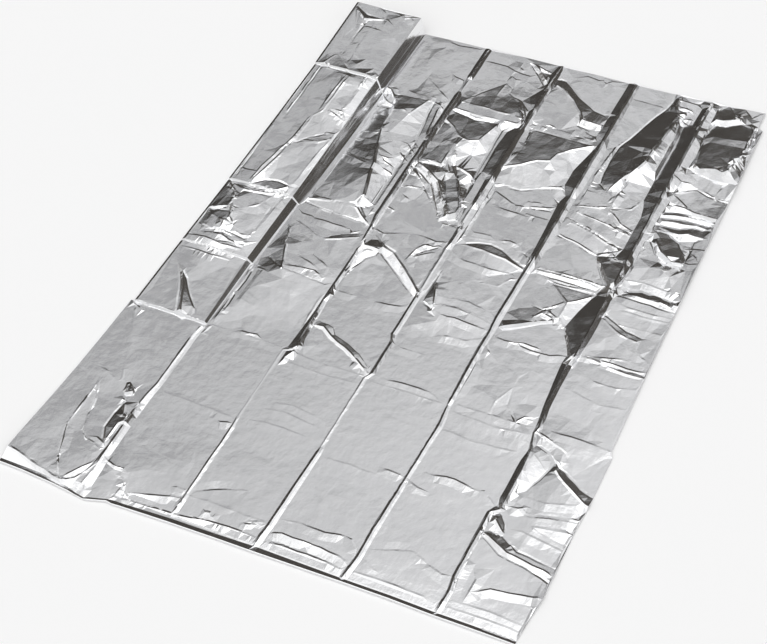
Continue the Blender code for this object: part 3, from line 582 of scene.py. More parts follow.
    "lens foot": ((4.37, 5.33, 5), (4.25, 5.42, 1), (4.22, 5.6, 1), (4.22, 5.9, 1), (4.23, 6.03, 1),
        (4.3, 6.2, 1)),
    "lens foot back": ((4.3, 6.2, 1), (4.38, 6.45, 1), (4.45, 6.65, 1), (4.52, 6.8, 2), (4.55, 6.95, 2),
        (4.53, 7.07, 2)),
    "lens crest": ((4.37, 5.33, 4), (4.41, 5.46, 13), (4.46, 5.6, 19), (4.55, 5.78, 24), (4.6, 5.92, 25),
        (4.63, 6.2, 23)),
    "lens crest back": ((4.63, 6.2, 23), (4.67, 6.5, 19), (4.69, 6.72, 13), (4.61, 6.88, 9),
        (4.62, 7.07, 5)),
    "lens strip": ((4.78, 5.8, 11), (4.78, 6.15, 12), (4.78, 6.45, 12), (4.76, 6.6, 9)),
    "light foot": ((4.55, 5.11, 5), (4.75, 5.18, 5), (4.83, 5.35, 2)),
    "light top": ((4.74, 6.66, 4), (4.78, 6.6, 3), (4.83, 6.6, 2)),
    "far marks": ((4.72, 6.84, 4), (4.8, 6.86, 5), (4.88, 6.82, 3)),
    # sixth column
    "fan blob near": ((5.04, 0.71, 2), (5.2, 0.65, 7), (5.36, 0.58, 7), (5.45, 0.57, 3), (5.9, 0.5, 3)),
    "fan blob far": ((5.04, 0.735, 0), (5.24, 0.745, 0), (5.36, 0.68, 0), (5.46, 0.63, 1), (5.9, 0.58, 1)),
    "fan foot": ((5.05, 0.67, 0), (5.2, 0.6, 0), (5.3, 0.54, 0)),
    "fan white": ((5.3, 0.54, 0), (5.6, 0.5, 0), (5.9, 0.42, 0)),
    "fan blob 2": ((5.02, 0.96, 3), (5.09, 0.89, 8), (5.22, 0.78, 7)),
    "fan blob 2 far": ((5.05, 1.04, 0), (5.12, 0.98, 0), (5.22, 0.87, 0), (5.26, 0.77, 0), (5.22, 0.78, 7)),
    "fan white 2": ((5.5, 0.92, 3), (5.9, 0.86, 1)),
    "fan white 2 far": ((5.5, 0.94, 3), (5.9, 1.0, 4)),
    "fan ridge": ((5.35, 1.06, 2), (5.6, 1.12, 3), (5.9, 1.17, 4)),
    "patch": ((5.17, 1.24, 0), (5.24, 1.3, 0), (5.31, 1.47, 0), (5.38, 1.7, 0), (5.27, 1.8, 0),
        (5.15, 1.84, 0)),
    "bar near": ((5.42, 1.64, 6), (5.55, 1.54, 7), (5.75, 1.43, 7), (5.92, 1.35, 8)),
    "bar far": ((5.4, 1.74, 3), (5.44, 1.67, 1), (5.6, 1.6, 0), (5.75, 1.52, 0), (5.92, 1.45, 1)),
    "diagonal of row 1": ((5.03, 2.0, 2), (5.38, 1.9, 3), (5.55, 1.72, 1)),
    "streak of row 3": ((5.06, 3.62, 3), (5.2, 3.54, 4), (5.35, 3.47, 5), (5.55, 3.44, 5)),
    "streak of row 3 far": ((5.1, 3.66, 2), (5.22, 3.61, 2), (5.38, 3.54, 2), (5.6, 3.5, 3)),
    "block near": ((5.45, 4.02, 6), (5.56, 4.02, 6)),
    "block 1": ((5.15, 4.0, 2), (5.3, 4.02, 6), (5.43, 4.02, 6)),
    "block 1 far": ((5.2, 4.05, 0), (5.34, 4.1, 0), (5.44, 4.09, 0)),
    "block 2": ((5.58, 4.03, 6), (5.68, 4.01, 7), (5.81, 3.99, 7)),
    "block 2 far": ((5.6, 4.09, 0), (5.7, 4.08, 0), (5.81, 4.07, 0)),
    "panel side": ((5.13, 4.68, 3), (5.09, 4.5, 4), (5.08, 4.12, 4)),
    "quad near": ((5.2, 4.82, 10), (5.3, 4.7, 14), (5.45, 4.62, 15), (5.57, 4.62, 14)),
    "quad far": ((5.18, 5.02, 1), (5.3, 4.99, 0), (5.45, 4.9, 0), (5.55, 4.78, 3), (5.57, 4.62, 14)),
    "quad foot": ((5.15, 4.81, 2), (5.27, 4.66, 2), (5.43, 4.585, 2), (5.6, 4.58, 2)),
    "quad side": ((5.61, 4.6, 2), (5.62, 4.8, 1), (5.6, 4.97, 0)),
    "chip of row 4": ((5.35, 4.57, 2), (5.53, 4.57, 3), (5.45, 4.46, 9), (5.35, 4.57, 2)),
    "panel of row 5": ((5.13, 5.4, 3), (5.3, 5.4, 5), (5.45, 5.37, 6), (5.78, 5.36, 7)),
    "panel of row 5 far": ((5.16, 5.62, 0), (5.35, 5.72, 0.5), (5.5, 5.67, 1), (5.77, 5.64, 1)),
    "white diagonal": ((5.06, 5.58, 3), (5.2, 5.61, 3), (5.35, 5.72, 4)),
    "stripe 1": ((5.1, 4.99, 3), (5.4, 5.01, 3.5), (5.5, 5.05, 5), (5.78, 5.05, 5)),
    "stripe 1 far": ((5.1, 5.06, 0), (5.38, 5.09, 0), (5.52, 5.17, 0.5), (5.78, 5.17, 0.5)),
    "stripe 2": ((5.1, 5.12, 2.5), (5.3, 5.16, 3.5), (5.55, 5.2, 2), (5.78, 5.2, 2)),
    "stripe 2 far": ((5.11, 5.18, 0.5), (5.28, 5.215, 0.5), (5.42, 5.24, 0.5), (5.6, 5.245, 0.5),
        (5.78, 5.245, 0.5)),
    "stripe 3": ((5.12, 5.22, 2.5), (5.25, 5.26, 3), (5.42, 5.285, 3), (5.6, 5.29, 3), (5.78, 5.29, 3)),
    "stripe 3 far": ((5.13, 5.28, 0.5), (5.26, 5.315, 1), (5.4, 5.335, 1), (5.6, 5.335, 1),
        (5.78, 5.335, 1)),
    "row 6 near 5": ((5.12, 5.99, 4), (5.3, 5.955, 4), (5.45, 5.93, 4), (5.6, 5.935, 4), (5.76, 5.97, 4)),
    "row 6 ridge": ((5.16, 6.08, 13.5), (5.24, 6.02, 18.2), (5.32, 6.05, 21), (5.5, 6.05, 28.7),
        (5.56, 6.1, 30.2), (5.51, 6.16, 26.8), (5.62, 6.26, 29.5)),
    "hollow left": ((5.16, 6.08, 13.5), (5.13, 6.3, 7.6), (5.13, 6.6, 1.2), (5.18, 6.76, 0)),
    "hollow far": ((5.18, 6.76, 0), (5.3, 6.8, 4.3), (5.45, 6.88, 9), (5.58, 6.85, 15.2), (5.62, 6.8, 18)),
    "hollow right": ((5.62, 6.26, 29.5), (5.63, 6.5, 24.8), (5.62, 6.8, 18)),
    "far blob near": ((5.11, 6.88, 7), (5.14, 6.84, 8), (5.26, 6.85, 12), (5.4, 6.93, 14)),
    "far blob far": ((5.11, 6.88, 7), (5.12, 7.0, 2), (5.17, 7.1, 0), (5.24, 7.1, 0), (5.3, 7.03, 3),
        (5.4, 6.93, 14)),
    "far strip": ((5.66, 6.3, 9), (5.69, 6.6, 5), (5.66, 6.85, 2)),
}

# Sharp creases that stand off the facets: height in mm (a groove below 0), then (column, row) bends
CREASES = (
    # front
    (1.3, (1.42, -0.19), (1.7, -0.12), (1.95, -0.05)),
    (1.2, (1.955, -0.05), (1.96, -0.2)),
    (1.5, (1.4, -0.285), (1.8, -0.255), (2.1, -0.235), (2.3, -0.195), (2.6, -0.175), (2.92, -0.185)),
    (1.6, (2.71, -0.09), (2.79, -0.07), (2.86, -0.045)),
    (0.9, (2.76, -0.04), (2.84, -0.02), (2.9, -0.04)),
    (2.0, (2.28, -0.105), (2.33, -0.095)),
    (1.0, (2.36, -0.13), (2.38, -0.125)),
    (2.0, (3.03, -0.08), (3.15, -0.045), (3.4, -0.045), (3.6, -0.05), (3.9, -0.09)),
    (1.3, (3.04, -0.195), (3.2, -0.17), (3.6, -0.17), (3.9, -0.19)),
    (1.2, (3.2, 0.12), (3.55, 0.12), (3.7, 0.15), (3.76, 0.15)),
    (1.6, (3.84, 0.15), (3.93, 0.07)),
    (1.0, (4.05, -0.165), (4.5, -0.155), (4.82, -0.16)),
    (0.6, (4.1, -0.02), (4.2, -0.07)),
    (-0.7, (4.19, 0.17), (4.32, 0.22), (4.45, 0.26)),
    (1.4, (4.73, 0.16), (4.87, 0.12)),
    (0.4, (4.45, 0.26), (4.6, 0.21), (4.73, 0.16)),
    (0.5, (5.1, -0.1), (5.5, -0.08), (5.86, -0.1)),
    (0.5, (5.1, -0.18), (5.5, -0.17), (5.86, -0.18)),
    (1.6, (5.035, 0.83), (5.05, 0.765)),
    (1.6, (5.38, 0.66), (5.42, 0.62)),
    (1.6, (5.22, 0.05), (5.225, 0.2)),
    (-1.0, (2.05, 0.09), (2.22, 0.18), (2.5, 0.28)),
    (-0.4, (1.0, 0.25), (1.25, 0.38), (1.55, 0.33)),
    (-0.3, (1.0, 0.17), (1.3, 0.27)),
    (0.3, (2.0, 0.01), (2.9, 0.01)),
    (1.8, (5.28, 0.07), (5.4, 0.145), (5.6, 0.17), (5.93, 0.24)),
    (1.6, (5.045, 0.08), (5.05, 0.25), (5.05, 0.45)),
    (1.3, (0.3, 0.86), (0.305, 0.6), (0.3, 0.38)),
    (1.0, (0.31, 0.87), (0.38, 0.75), (0.44, 0.55), (0.49, 0.32)),
    (0.8, (0.49, 0.32), (0.6, 0.22), (0.8, 0.165)),
    (1.2, (0.3, 0.32), (0.38, 0.15), (0.43, 0.0), (0.5, -0.14), (0.6, -0.29)),
    (1.6, (0.66, -0.28), (0.72, -0.19), (0.78, -0.1), (0.87, 0.01)),
    (2.0, (0.97, 0.065), (1.08, 0.03), (1.2, 0.035)),
    (1.2, (1.22, -0.05), (1.3, -0.11), (1.33, -0.19)),
    (1.4, (1.3, -0.2), (1.29, -0.29)),
    (1.4, (1.34, -0.19), (1.42, -0.24)),
    (1.5, (0.8, 0.6), (0.87, 0.585)),
    (1.4, (0.93, -0.28), (0.95, -0.34), (0.99, -0.4)),
    (1.2, (5.885, 0.1), (5.885, -0.1)),
    (1.2, (5.875, -0.16), (5.88, -0.24)),
    (1.0, (5.89, 0.83), (5.9, 1.0)),
    (1.2, (5.905, 1.02), (5.91, 1.22)),
    # first rows
    (0.8, (0.15, 1.08), (0.3, 1.05), (0.43, 1.0)),
    (2.2, (0.7, 0.27), (0.81, 0.23)),
    (2.0, (0.68, 0.79), (0.72, 0.785)),
    (0.3, (1.05, 1.03), (1.9, 1.01)),
    (1.8, (1.84, 0.91), (1.91, 0.93)),
    (1.0, (1.84, 0.045), (1.93, 0.04)),
    (0.3, (2.05, 1.2), (2.4, 1.26), (2.9, 1.22)),
    (0.25, (2.1, 1.3), (2.45, 1.37), (2.9, 1.31)),
    (0.3, (2.05, 1.05), (2.5, 1.08), (2.95, 1.06)),
    (0.35, (3.1, 0.91), (3.4, 0.93), (3.7, 0.92)),
    (1.6, (3.8, 1.01), (3.94, 1.005)),
    (1.1, (4.18, 1.12), (4.4, 1.15), (4.6, 1.14), (4.8, 1.12)),
    (1.0, (4.84, 1.14), (4.89, 1.11)),
    (0.8, (4.9, 1.09), (4.95, 1.07)),
    (1.5, (4.05, 0.97), (4.18, 0.93)),
    (-1.6, (4.84, 0.9), (4.86, 1.02)),
    (0.5, (4.1, 1.66), (4.5, 1.64), (4.95, 1.68)),
    (0.5, (4.1, 1.91), (4.6, 1.88), (4.98, 1.93)),
    (1.5, (5.14, 1.06), (5.26, 1.07), (5.34, 1.12)),
    (0.8, (5.4, 1.01), (5.6, 1.07), (5.9, 1.12)),
    (0.6, (5.2, 1.22), (5.5, 1.22), (5.8, 1.3)),
    (1.0, (5.14, 1.71), (5.22, 1.66)),
    (0.7, (5.4, 0.84), (5.88, 0.78)),
    # row 2 line and above
    (2.0, (0.05, 1.96), (0.2, 1.9)),
    (1.5, (1.045, 2.08), (1.045, 2.5), (1.05, 2.93)),
    (1.3, (1.085, 2.22), (1.095, 2.93)),
    (0.6, (0.05, 2.02), (0.5, 2.02), (0.92, 2.02)),
    (0.5, (1.05, 2.0), (1.42, 2.01), (1.95, 2.0)),
    (1.6, (1.42, 2.04), (1.6, 2.06)),
    (1.1, (2.72, 2.155), (2.85, 2.1), (2.97, 2.06)),
    (0.4, (2.05, 1.99), (2.5, 1.96), (2.98, 1.98)),
    (0.3, (2.05, 1.86), (2.5, 1.84), (2.95, 1.87)),
    (1.0, (3.2, 2.02), (3.4, 2.04), (3.6, 2.045), (3.82, 2.02)),
    (0.4, (3.1, 1.95), (3.9, 1.96)),
    (0.5, (4.1, 2.0), (4.9, 2.01)),
    (0.9, (5.1, 2.03), (5.4, 2.05), (5.85, 2.03)),
    (1.1, (1.02, 1.88), (1.04, 1.98)),
    (0.9, (3.5, 2.75), (3.58, 2.77), (3.66, 2.78)),
    (0.5, (3.66, 2.78), (3.8, 2.79), (3.95, 2.88)),
    (0.6, (3.05, 2.5), (3.2, 2.46), (3.45, 2.46)),
    (1.0, (2.03, 2.25), (2.01, 2.5), (2.01, 2.8)),
    (1.0, (4.05, 2.15), (4.05, 2.52)),
    (1.2, (4.04, 2.83), (4.1, 2.75), (4.13, 2.74)),
    (0.6, (5.12, 2.86), (5.35, 2.78), (5.6, 2.78), (5.84, 2.85)),
    (0.4, (5.12, 2.6), (5.5, 2.52), (5.8, 2.56)),
    # row 3 line
    (1.8, (0.09, 2.955), (0.4, 2.95), (0.74, 2.955)),
    (-1.5, (0.09, 2.985), (0.4, 2.985), (0.72, 2.985)),
    (0.9, (0.14, 2.87), (0.5, 2.86), (0.76, 2.88)),
    (1.4, (0.1, 3.05), (0.3, 3.07), (0.55, 3.04), (0.8, 3.06)),
    (1.6, (0.3, 3.15), (0.48, 3.16), (0.6, 3.12), (0.8, 3.11)),
    (-1.3, (0.5, 3.09), (0.8, 3.14)),
    (0.9, (1.1, 2.89), (1.2, 2.88)),
    (-0.9, (1.4, 2.97), (1.95, 2.96)),
    (1.2, (1.45, 3.02), (1.6, 3.05), (1.75, 3.07), (1.88, 3.01)),
    (0.8, (1.6, 3.27), (1.78, 3.21), (1.95, 3.12)),
    (0.8, (1.45, 3.2), (1.62, 3.16), (1.8, 3.1)),
    (0.8, (2.08, 2.92), (2.32, 2.92)),
    (1.2, (2.6, 2.92), (2.78, 2.94), (2.96, 2.98)),
    (1.4, (3.38, 3.01), (3.55, 3.02), (3.7, 3.01), (3.94, 3.0)),
    (0.7, (3.2, 3.1), (3.5, 3.15), (3.85, 3.12)),
    (0.6, (3.3, 3.24), (3.6, 3.28), (3.9, 3.24)),
    (1.5, (4.1, 2.95), (4.3, 2.955), (4.42, 2.985), (4.62, 2.98)),
    (1.4, (4.3, 2.94), (4.6, 2.92), (4.75, 2.93), (4.92, 2.99)),
    (1.6, (5.1, 3.04), (5.3, 3.03), (5.5, 3.0), (5.82, 3.0)),
    (-1.4, (5.2, 3.0), (5.5, 3.04), (5.82, 3.03)),
    (1.3, (5.2, 3.07), (5.45, 3.06), (5.6, 3.05), (5.82, 3.07)),
    (0.9, (5.12, 3.07), (5.35, 3.11), (5.58, 3.16)),
    (0.5, (5.4, 3.33), (5.6, 3.28), (5.8, 3.19)),
    (0.9, (5.05, 3.15), (5.05, 3.5)),
    # rows 3 to 5, first two columns
    (1.6, (0.06, 4.02), (0.16, 3.88), (0.26, 3.81), (0.33, 3.7), (0.31, 3.62)),
    (1.2, (0.1, 3.93), (0.3, 3.87), (0.5, 3.88), (0.7, 3.92), (0.82, 4.0)),
    (-1.0, (0.16, 3.93), (0.4, 3.93), (0.65, 3.95)),
    (0.9, (0.07, 4.1), (0.2, 4.15), (0.35, 4.16)),
    (1.3, (0.4, 3.52), (0.43, 3.42), (0.52, 3.33), (0.47, 3.28)),
    (-1.4, (0.2, 3.47), (0.28, 3.53), (0.36, 3.58)),
    (-1.4, (0.42, 3.38), (0.52, 3.34)),
    (1.4, (0.6, 3.26), (0.7, 3.24), (0.79, 3.27)),
    (-1.4, (0.24, 3.18), (0.45, 3.24), (0.58, 3.23), (0.8, 3.2)),
    (0.8, (0.82, 3.3), (0.86, 4.0)),
    (1.4, (0.35, 4.03), (0.37, 4.25), (0.43, 4.55), (0.49, 4.8), (0.5, 5.12)),
    (1.2, (0.13, 4.2), (0.13, 4.97)),
    (1.3, (0.185, 5.2), (0.19, 5.96)),
    (1.4, (0.57, 5.32), (0.575, 5.7), (0.59, 5.92)),
    (-1.2, (2.33, 3.6), (2.6, 3.41), (2.97, 3.15)),
    (-1.2, (2.09, 3.12), (2.12, 3.3), (2.2, 3.44), (2.28, 3.53)),
    (-1.3, (2.06, 4.92), (2.2, 4.79), (2.36, 4.63), (2.52, 4.49), (2.72, 4.28)),
    (0.8, (1.12, 3.955), (1.5, 3.93), (1.9, 3.91)),
    (0.9, (0.86, 4.15), (0.89, 4.6), (0.93, 4.95)),
    (1.0, (0.82, 5.0), (1.0, 5.0)),
    (0.8, (0.64, 4.8), (0.78, 4.83), (0.9, 4.9)),
    (1.6, (0.68, 5.32), (0.8, 5.28), (0.92, 5.24)),
    (1.2, (0.7, 5.36), (0.8, 5.36), (0.86, 5.28)),
    (1.2, (0.79, 5.44), (0.85, 5.36), (0.91, 5.26)),
    (1.0, (0.86, 5.3), (0.86, 6.0)),
    (1.8, (0.06, 6.09), (0.12, 6.07)),
    (1.0, (0.86, 6.1), (0.96, 6.06), (1.05, 6.02)),
    (1.6, (0.3, 7.19), (0.36, 7.18), (0.5, 7.09)),
    (1.4, (0.72, 7.09), (0.78, 7.14), (0.76, 7.2)),
    (1.2, (0.86, 7.12), (0.9, 7.08)),
    (1.4, (0.52, 6.99), (0.6, 6.98)),
    (-0.7, (0.25, 6.8), (0.45, 6.82), (0.6, 6.8)),
    (1.6, (1.35, 3.77), (1.6, 3.77), (1.78, 3.77)),
    (1.2, (1.1, 3.84), (1.18, 3.79), (1.3, 3.79)),
    (1.6, (1.82, 3.78), (1.87, 3.73), (1.93, 3.78)),
    (-1.4, (1.84, 3.81), (1.97, 3.81)),
    (0.6, (1.15, 3.68), (1.35, 3.61), (1.58, 3.53)),
    (0.8, (1.12, 4.05), (1.3, 4.08), (1.45, 4.08)),
    (1.4, (1.16, 4.79), (1.35, 4.75), (1.5, 4.71)),
    (-1.2, (1.16, 4.86), (1.35, 4.8), (1.55, 4.77)),
    (1.8, (1.66, 4.87), (1.72, 4.88)),
    (1.8, (1.7, 4.82), (1.8, 4.8)),
    (1.5, (1.77, 4.71), (1.86, 4.7)),
    (1.5, (1.72, 4.23), (1.8, 4.22), (1.9, 4.2)),
    (1.2, (1.93, 4.1), (1.93, 4.9)),
    (1.2, (1.2, 5.06), (1.36, 5.09)),
    (1.2, (1.2, 5.18), (1.4, 5.22)),
    (1.8, (1.8, 5.03), (1.87, 4.99), (1.95, 4.93)),
    (1.6, (1.82, 5.2), (1.92, 5.12), (1.97, 5.05)),
    (1.2, (1.88, 5.26), (1.96, 5.18)),
    (1.8, (1.2, 5.78), (1.24, 5.75)),
    (1.8, (1.3, 5.73), (1.36, 5.71)),
    (2.0, (1.86, 6.41), (1.98, 6.39)),
    (0.8, (1.75, 6.15), (1.85, 6.08), (1.96, 6.03)),
    (1.4, (1.8, 5.93), (1.9, 5.9), (1.97, 5.86)),
    (0.9, (1.52, 6.95), (1.65, 6.93), (1.92, 6.96)),
    # third column
    (1.8, (2.08, 4.22), (2.14, 4.21)),
    (1.3, (2.13, 4.45), (2.2, 4.43), (2.25, 4.41)),
    (1.0, (2.08, 4.57), (2.2, 4.6), (2.33, 4.62)),
    (1.7, (2.33, 4.89), (2.37, 4.86), (2.36, 4.92)),
    (1.4, (2.1, 3.87), (2.22, 3.84), (2.3, 3.87)),
    (2.2, (2.66, 3.62), (2.69, 3.76), (2.74, 3.85)),
    (1.5, (2.72, 3.66), (2.8, 3.72), (2.88, 3.78)),
    (-1.4, (2.72, 3.72), (2.8, 3.8), (2.9, 3.88)),
    (1.4, (2.7, 3.8), (2.76, 3.86), (2.85, 3.86), (2.92, 3.9)),
    (1.2, (2.68, 3.96), (2.85, 3.94), (2.97, 3.98)),
    (1.0, (2.8, 4.22), (2.98, 4.21)),
    (-1.0, (2.76, 4.26), (2.98, 4.26)),
    (1.4, (2.87, 4.62), (2.87, 5.08)),
    (1.3, (2.88, 5.1), (2.88, 5.45)),
    (1.6, (2.4, 5.15), (2.46, 5.02), (2.5, 4.96)),
    (1.8, (2.43, 5.26), (2.46, 5.22)),
    (1.3, (2.1, 5.03), (2.25, 5.05), (2.4, 5.02)),
    (1.2, (2.15, 6.8), (2.38, 6.8)),
    (1.8, (2.54, 6.84), (2.58, 6.81)),
    (1.8, (2.52, 6.66), (2.58, 6.63)),
    (1.0, (2.5, 6.76), (2.72, 6.74)),
    (1.5, (2.68, 6.95), (2.82, 6.91), (2.96, 6.88)),
    (1.2, (2.62, 6.95), (2.72, 6.86)),
    (1.6, (2.86, 6.25), (2.97, 6.06)),
    # fourth column
    (0.8, (3.12, 3.84), (3.3, 3.8), (3.6, 3.79), (3.88, 3.82)),
    (1.2, (3.55, 4.22), (3.65, 4.24), (3.78, 4.21)),
    (0.8, (3.2, 4.22), (3.4, 4.24)),
    (1.2, (3.88, 4.12), (3.98, 4.05)),
    (1.2, (3.3, 4.66), (3.45, 4.65), (3.65, 4.64)),
    (1.2, (3.15, 4.88), (3.3, 4.82), (3.46, 4.76)),
    (1.6, (3.46, 4.76), (3.6, 4.77), (3.66, 4.8), (3.88, 4.86)),
    (-1.2, (3.58, 4.78), (3.72, 4.8), (3.88, 4.82)),
    (1.3, (3.6, 4.86), (3.7, 4.88), (3.76, 4.84)),
    (0.8, (3.65, 4.68), (3.88, 4.67)),
    (2.0, (3.3, 6.06), (3.35, 6.05)),
    (1.4, (3.24, 6.01), (3.28, 6.0)),
    (1.4, (3.12, 5.9), (3.15, 5.8), (3.16, 5.7)),
    (1.3, (3.9, 6.0), (3.92, 6.24)),
    (0.7, (3.4, 6.98), (3.55, 6.96)),
    (0.8, (3.6, 6.98), (3.66, 6.94), (3.72, 7.0)),
    # fifth column
    (1.6, (4.1, 3.975), (4.4, 3.975), (4.65, 3.985), (4.85, 3.97)),
    (-1.6, (4.12, 3.935), (4.5, 3.935), (4.9, 3.93)),
    (1.2, (4.15, 3.9), (4.4, 3.87), (4.6, 3.88), (4.85, 3.9)),
    (1.0, (4.6, 4.0), (4.76, 4.0)),
    (1.3, (4.42, 3.5), (4.52, 3.45), (4.6, 3.42)),
    (1.0, (4.41, 3.49), (4.5, 3.55), (4.62, 3.66)),
    (2.2, (4.13, 4.535), (4.4, 4.48), (4.64, 4.41)),
    (-1.2, (4.66, 4.44), (4.75, 4.49), (4.86, 4.54)),
    (1.2, (4.66, 4.41), (4.76, 4.46), (4.86, 4.52)),
    (1.6, (4.76, 4.47), (4.84, 4.45), (4.92, 4.4)),
    (1.3, (4.12, 4.79), (4.4, 4.73), (4.6, 4.67), (4.82, 4.59)),
    (1.5, (4.2, 4.91), (4.45, 4.87), (4.6, 4.85), (4.76, 4.8), (4.9, 4.8)),
    (1.3, (4.15, 5.0), (4.4, 5.05), (4.5, 5.1)),
    (1.4, (4.53, 5.05), (4.65, 4.97), (4.72, 4.91), (4.88, 4.86)),
    (-1.0, (4.55, 4.99), (4.7, 4.87), (4.88, 4.83)),
    (1.5, (4.53, 5.02), (4.54, 5.45), (4.55, 5.55)),
    (0.9, (4.16, 5.1), (4.15, 5.5), (4.2, 6.0), (4.26, 6.15)),
    (1.8, (4.72, 6.86), (4.82, 6.85)),
    (1.2, (4.66, 6.97), (4.85, 6.98)),
    (-1.2, (4.72, 6.7), (4.82, 6.66), (4.92, 6.62)),
    (1.2, (4.72, 6.6), (4.8, 6.7), (4.88, 6.72)),
    (0.6, (4.1, 6.8), (4.45, 6.8)),
    # sixth column
    (0.6, (5.08, 4.17), (5.3, 4.21), (5.5, 4.19), (5.8, 4.17)),
    (-1.2, (5.06, 3.96), (5.4, 3.95), (5.8, 3.94)),
    (0.6, (5.07, 3.85), (5.3, 3.82), (5.6, 3.82), (5.8, 3.84)),
    (0.4, (5.25, 3.76), (5.6, 3.76), (5.78, 3.78)),
    (0.7, (5.3, 3.58), (5.78, 3.6)),
    (1.5, (5.1, 4.7), (5.14, 4.66)),
    (1.3, (5.58, 4.64), (5.68, 4.62), (5.78, 4.65)),
    (1.4, (5.6, 4.84), (5.78, 4.86)),
    (1.8, (5.68, 4.76), (5.72, 4.73)),
    (1.4, (5.08, 4.9), (5.16, 4.94), (5.12, 4.82)),
    (1.2, (5.08, 5.56), (5.22, 5.48), (5.38, 5.38)),
    (1.2, (5.02, 5.78), (5.14, 5.75), (5.26, 5.76)),
    (0.9, (5.04, 5.8), (5.08, 5.88), (5.12, 5.95)),
    (1.2, (5.4, 5.72), (5.6, 5.65), (5.76, 5.66)),
    (2.0, (5.58, 6.09), (5.68, 6.06), (5.74, 6.04)),
    (-1.8, (5.56, 6.13), (5.66, 6.14), (5.74, 6.12)),
    (1.8, (5.6, 6.19), (5.68, 6.18), (5.74, 6.2)),
    (1.4, (5.66, 6.35), (5.72, 6.42)),
    (1.4, (5.64, 6.62), (5.7, 6.7)),
    (1.2, (5.66, 6.5), (5.72, 6.52)),
    (0.7, (5.45, 7.06), (5.55, 6.98), (5.62, 7.08)),
)


def along(stations, place):
    """The values of the stations at a place, straight between one station and the next."""
    if place <= stations[0][0]:
        return stations[0][1:]
    for low, high in zip(stations, stations[1:]):
        if place <= high[0]:
            share = (place - low[0]) / (high[0] - low[0])
            return tuple(a + share * (b - a) for a, b in zip(low[1:], high[1:]))
    return stations[-1][1:]


def limited(value, low, high):
    """The value, held between two others."""
    return min(high, max(low, value))


def length_between(start, end):
    """Distance in cells between two bends."""
    return (Vector(end[:2]) - Vector(start[:2])).length


def is_flat(row):
    """True in front of the lifted part of the first column."""
    return row < LIFTED[0][0]


def wall(column, row):
    """The pleats' shares on the wall beside the lifted column: the height left, and how far it stands out."""
    _, _, wall_top, wall_foot, _ = along(LIFTED, row)
    return along(WALL_PLEATS, limited((column - wall_top) / (wall_foot - wall_top), 0.0, 1.0))


def lift(column, row):
    """Height in mm of the base that the folds stand on: the front's slope and the lifted column."""
    base = along(FRONT_LIFT, row)[0]
    if is_flat(row):
        return base
    rim_foot, rim_top, _, _, height = along(LIFTED, row)
    bevel = min(RIM_BEVEL, height / 2)
    up = (height - bevel) * limited((column - rim_foot) / (rim_top - rim_foot), 0.0, 1.0)
    up += bevel * limited((column - rim_top) / BEVEL_WIDTH, 0.0, 1.0)
    down = height * wall(column, row)[0]
    return base + min(up, down)


def pleat_offset(column, row):
    """How far in mm a place on the wall stands out along +X from a plain slope."""
    if is_flat(row):
        return 0.0
    return along(LIFTED, row)[4] * wall(column, row)[1]


def placed(bend):
    """A bend where it is, from where it is seen: a height moves it along the line of sight."""
    column, row, height = bend
    place = (column, row)
    for _ in range(PLACING_ROUNDS):
        total = height + lift(*place)
        aim = (column + SIGHT[0] * total, row + SIGHT[1] * total)
        place = tuple((a + b) / 2 for a, b in zip(place, aim))
    return (*place, height)


def wandering(bends, ragged, uneven):
    """The bends of a fold with more between them, each a little off the straight line."""
    found = [bends[0]]
    for start, end in zip(bends, bends[1:]):
        steps = max(1, round(length_between(start, end) / WANDER_STEP))
        for step in range(1, steps):
            share = step / steps
            column, row, height = (a + share * (b - a) for a, b in zip(start, end))
            spot = Vector(place * scale for place, scale in zip((column, row, height), WANDER_SCALE))
            side, ahead, up = noise.noise_vector(spot)
            found.append((column + side * ragged, row + ahead * ragged, height * (1 + uneven * up)))
        found.append(end)
    return found


def finely_cut(bends, step):
    """The bends of a fold with plain points between them, no further apart than a step."""
    found = [bends[0]]
    for start, end in zip(bends, bends[1:]):
        parts = max(1, round(length_between(start, end) / step))
        for part in range(1, parts + 1):
            found.append(tuple(a + part / parts * (b - a) for a, b in zip(start, end)))
    return found


class Net:
    """Bends as (column, row, height in mm) and the folds between them. The rim's folds come first."""

    def __init__(self):
        self.bends = []
        self.folds = []
        self.known = {}
        self.rim = 0

    def number(self, bend):
        """The number of the bend at a place, a new one where there is none yet."""
        key = (round(bend[0] / SAME_PLACE), round(bend[1] / SAME_PLACE))
        if key not in self.known:
            self.known[key] = len(self.bends)
            self.bends.append(bend)
        return self.known[key]

    def fold(self, bends):
        """Adds one fold through its bends, and returns their numbers."""
        numbers = [self.number(bend) for bend in bends]
        self.folds.extend((a, b) for a, b in zip(numbers, numbers[1:]) if a != b)
        return numbers

    def height_on(self, fold, place):
        """Height in mm of a fold where it passes a place."""
        start, end = (self.bends[number] for number in self.folds[fold])
        run = Vector((end[0] - start[0], end[1] - start[1]))
        share = (place - Vector(start[:2])).dot(run) / run.length_squared
        return start[2] + share * (end[2] - start[2])

    def facets(self, outline):
        """The flat facets inside the outline: their corners (column, row, height) and triangles."""
        places = [Vector(bend[:2]) for bend in self.bends]
        found = delaunay_2d_cdt(places, self.folds, [outline], 1, SAME_PLACE / 10)
        corners, edges, triangles, known, parents = found[:5]
        heights = [self.bends[names[0]][2] if names else 0.0 for names in known]
        crossing = {}
        for edge, folds in zip(edges, parents):
            for corner in edge:
                if not known[corner]:
                    crossing.setdefault(corner, set()).update(f for f in folds if f < len(self.folds))
        for corner, folds in crossing.items():
            chosen = [f for f in folds if f < self.rim] or list(folds)
            heights[corner] = sum(self.height_on(f, corners[corner]) for f in chosen) / max(1, len(chosen))
        return [(place.x, place.y, height) for place, height in zip(corners, heights)], triangles


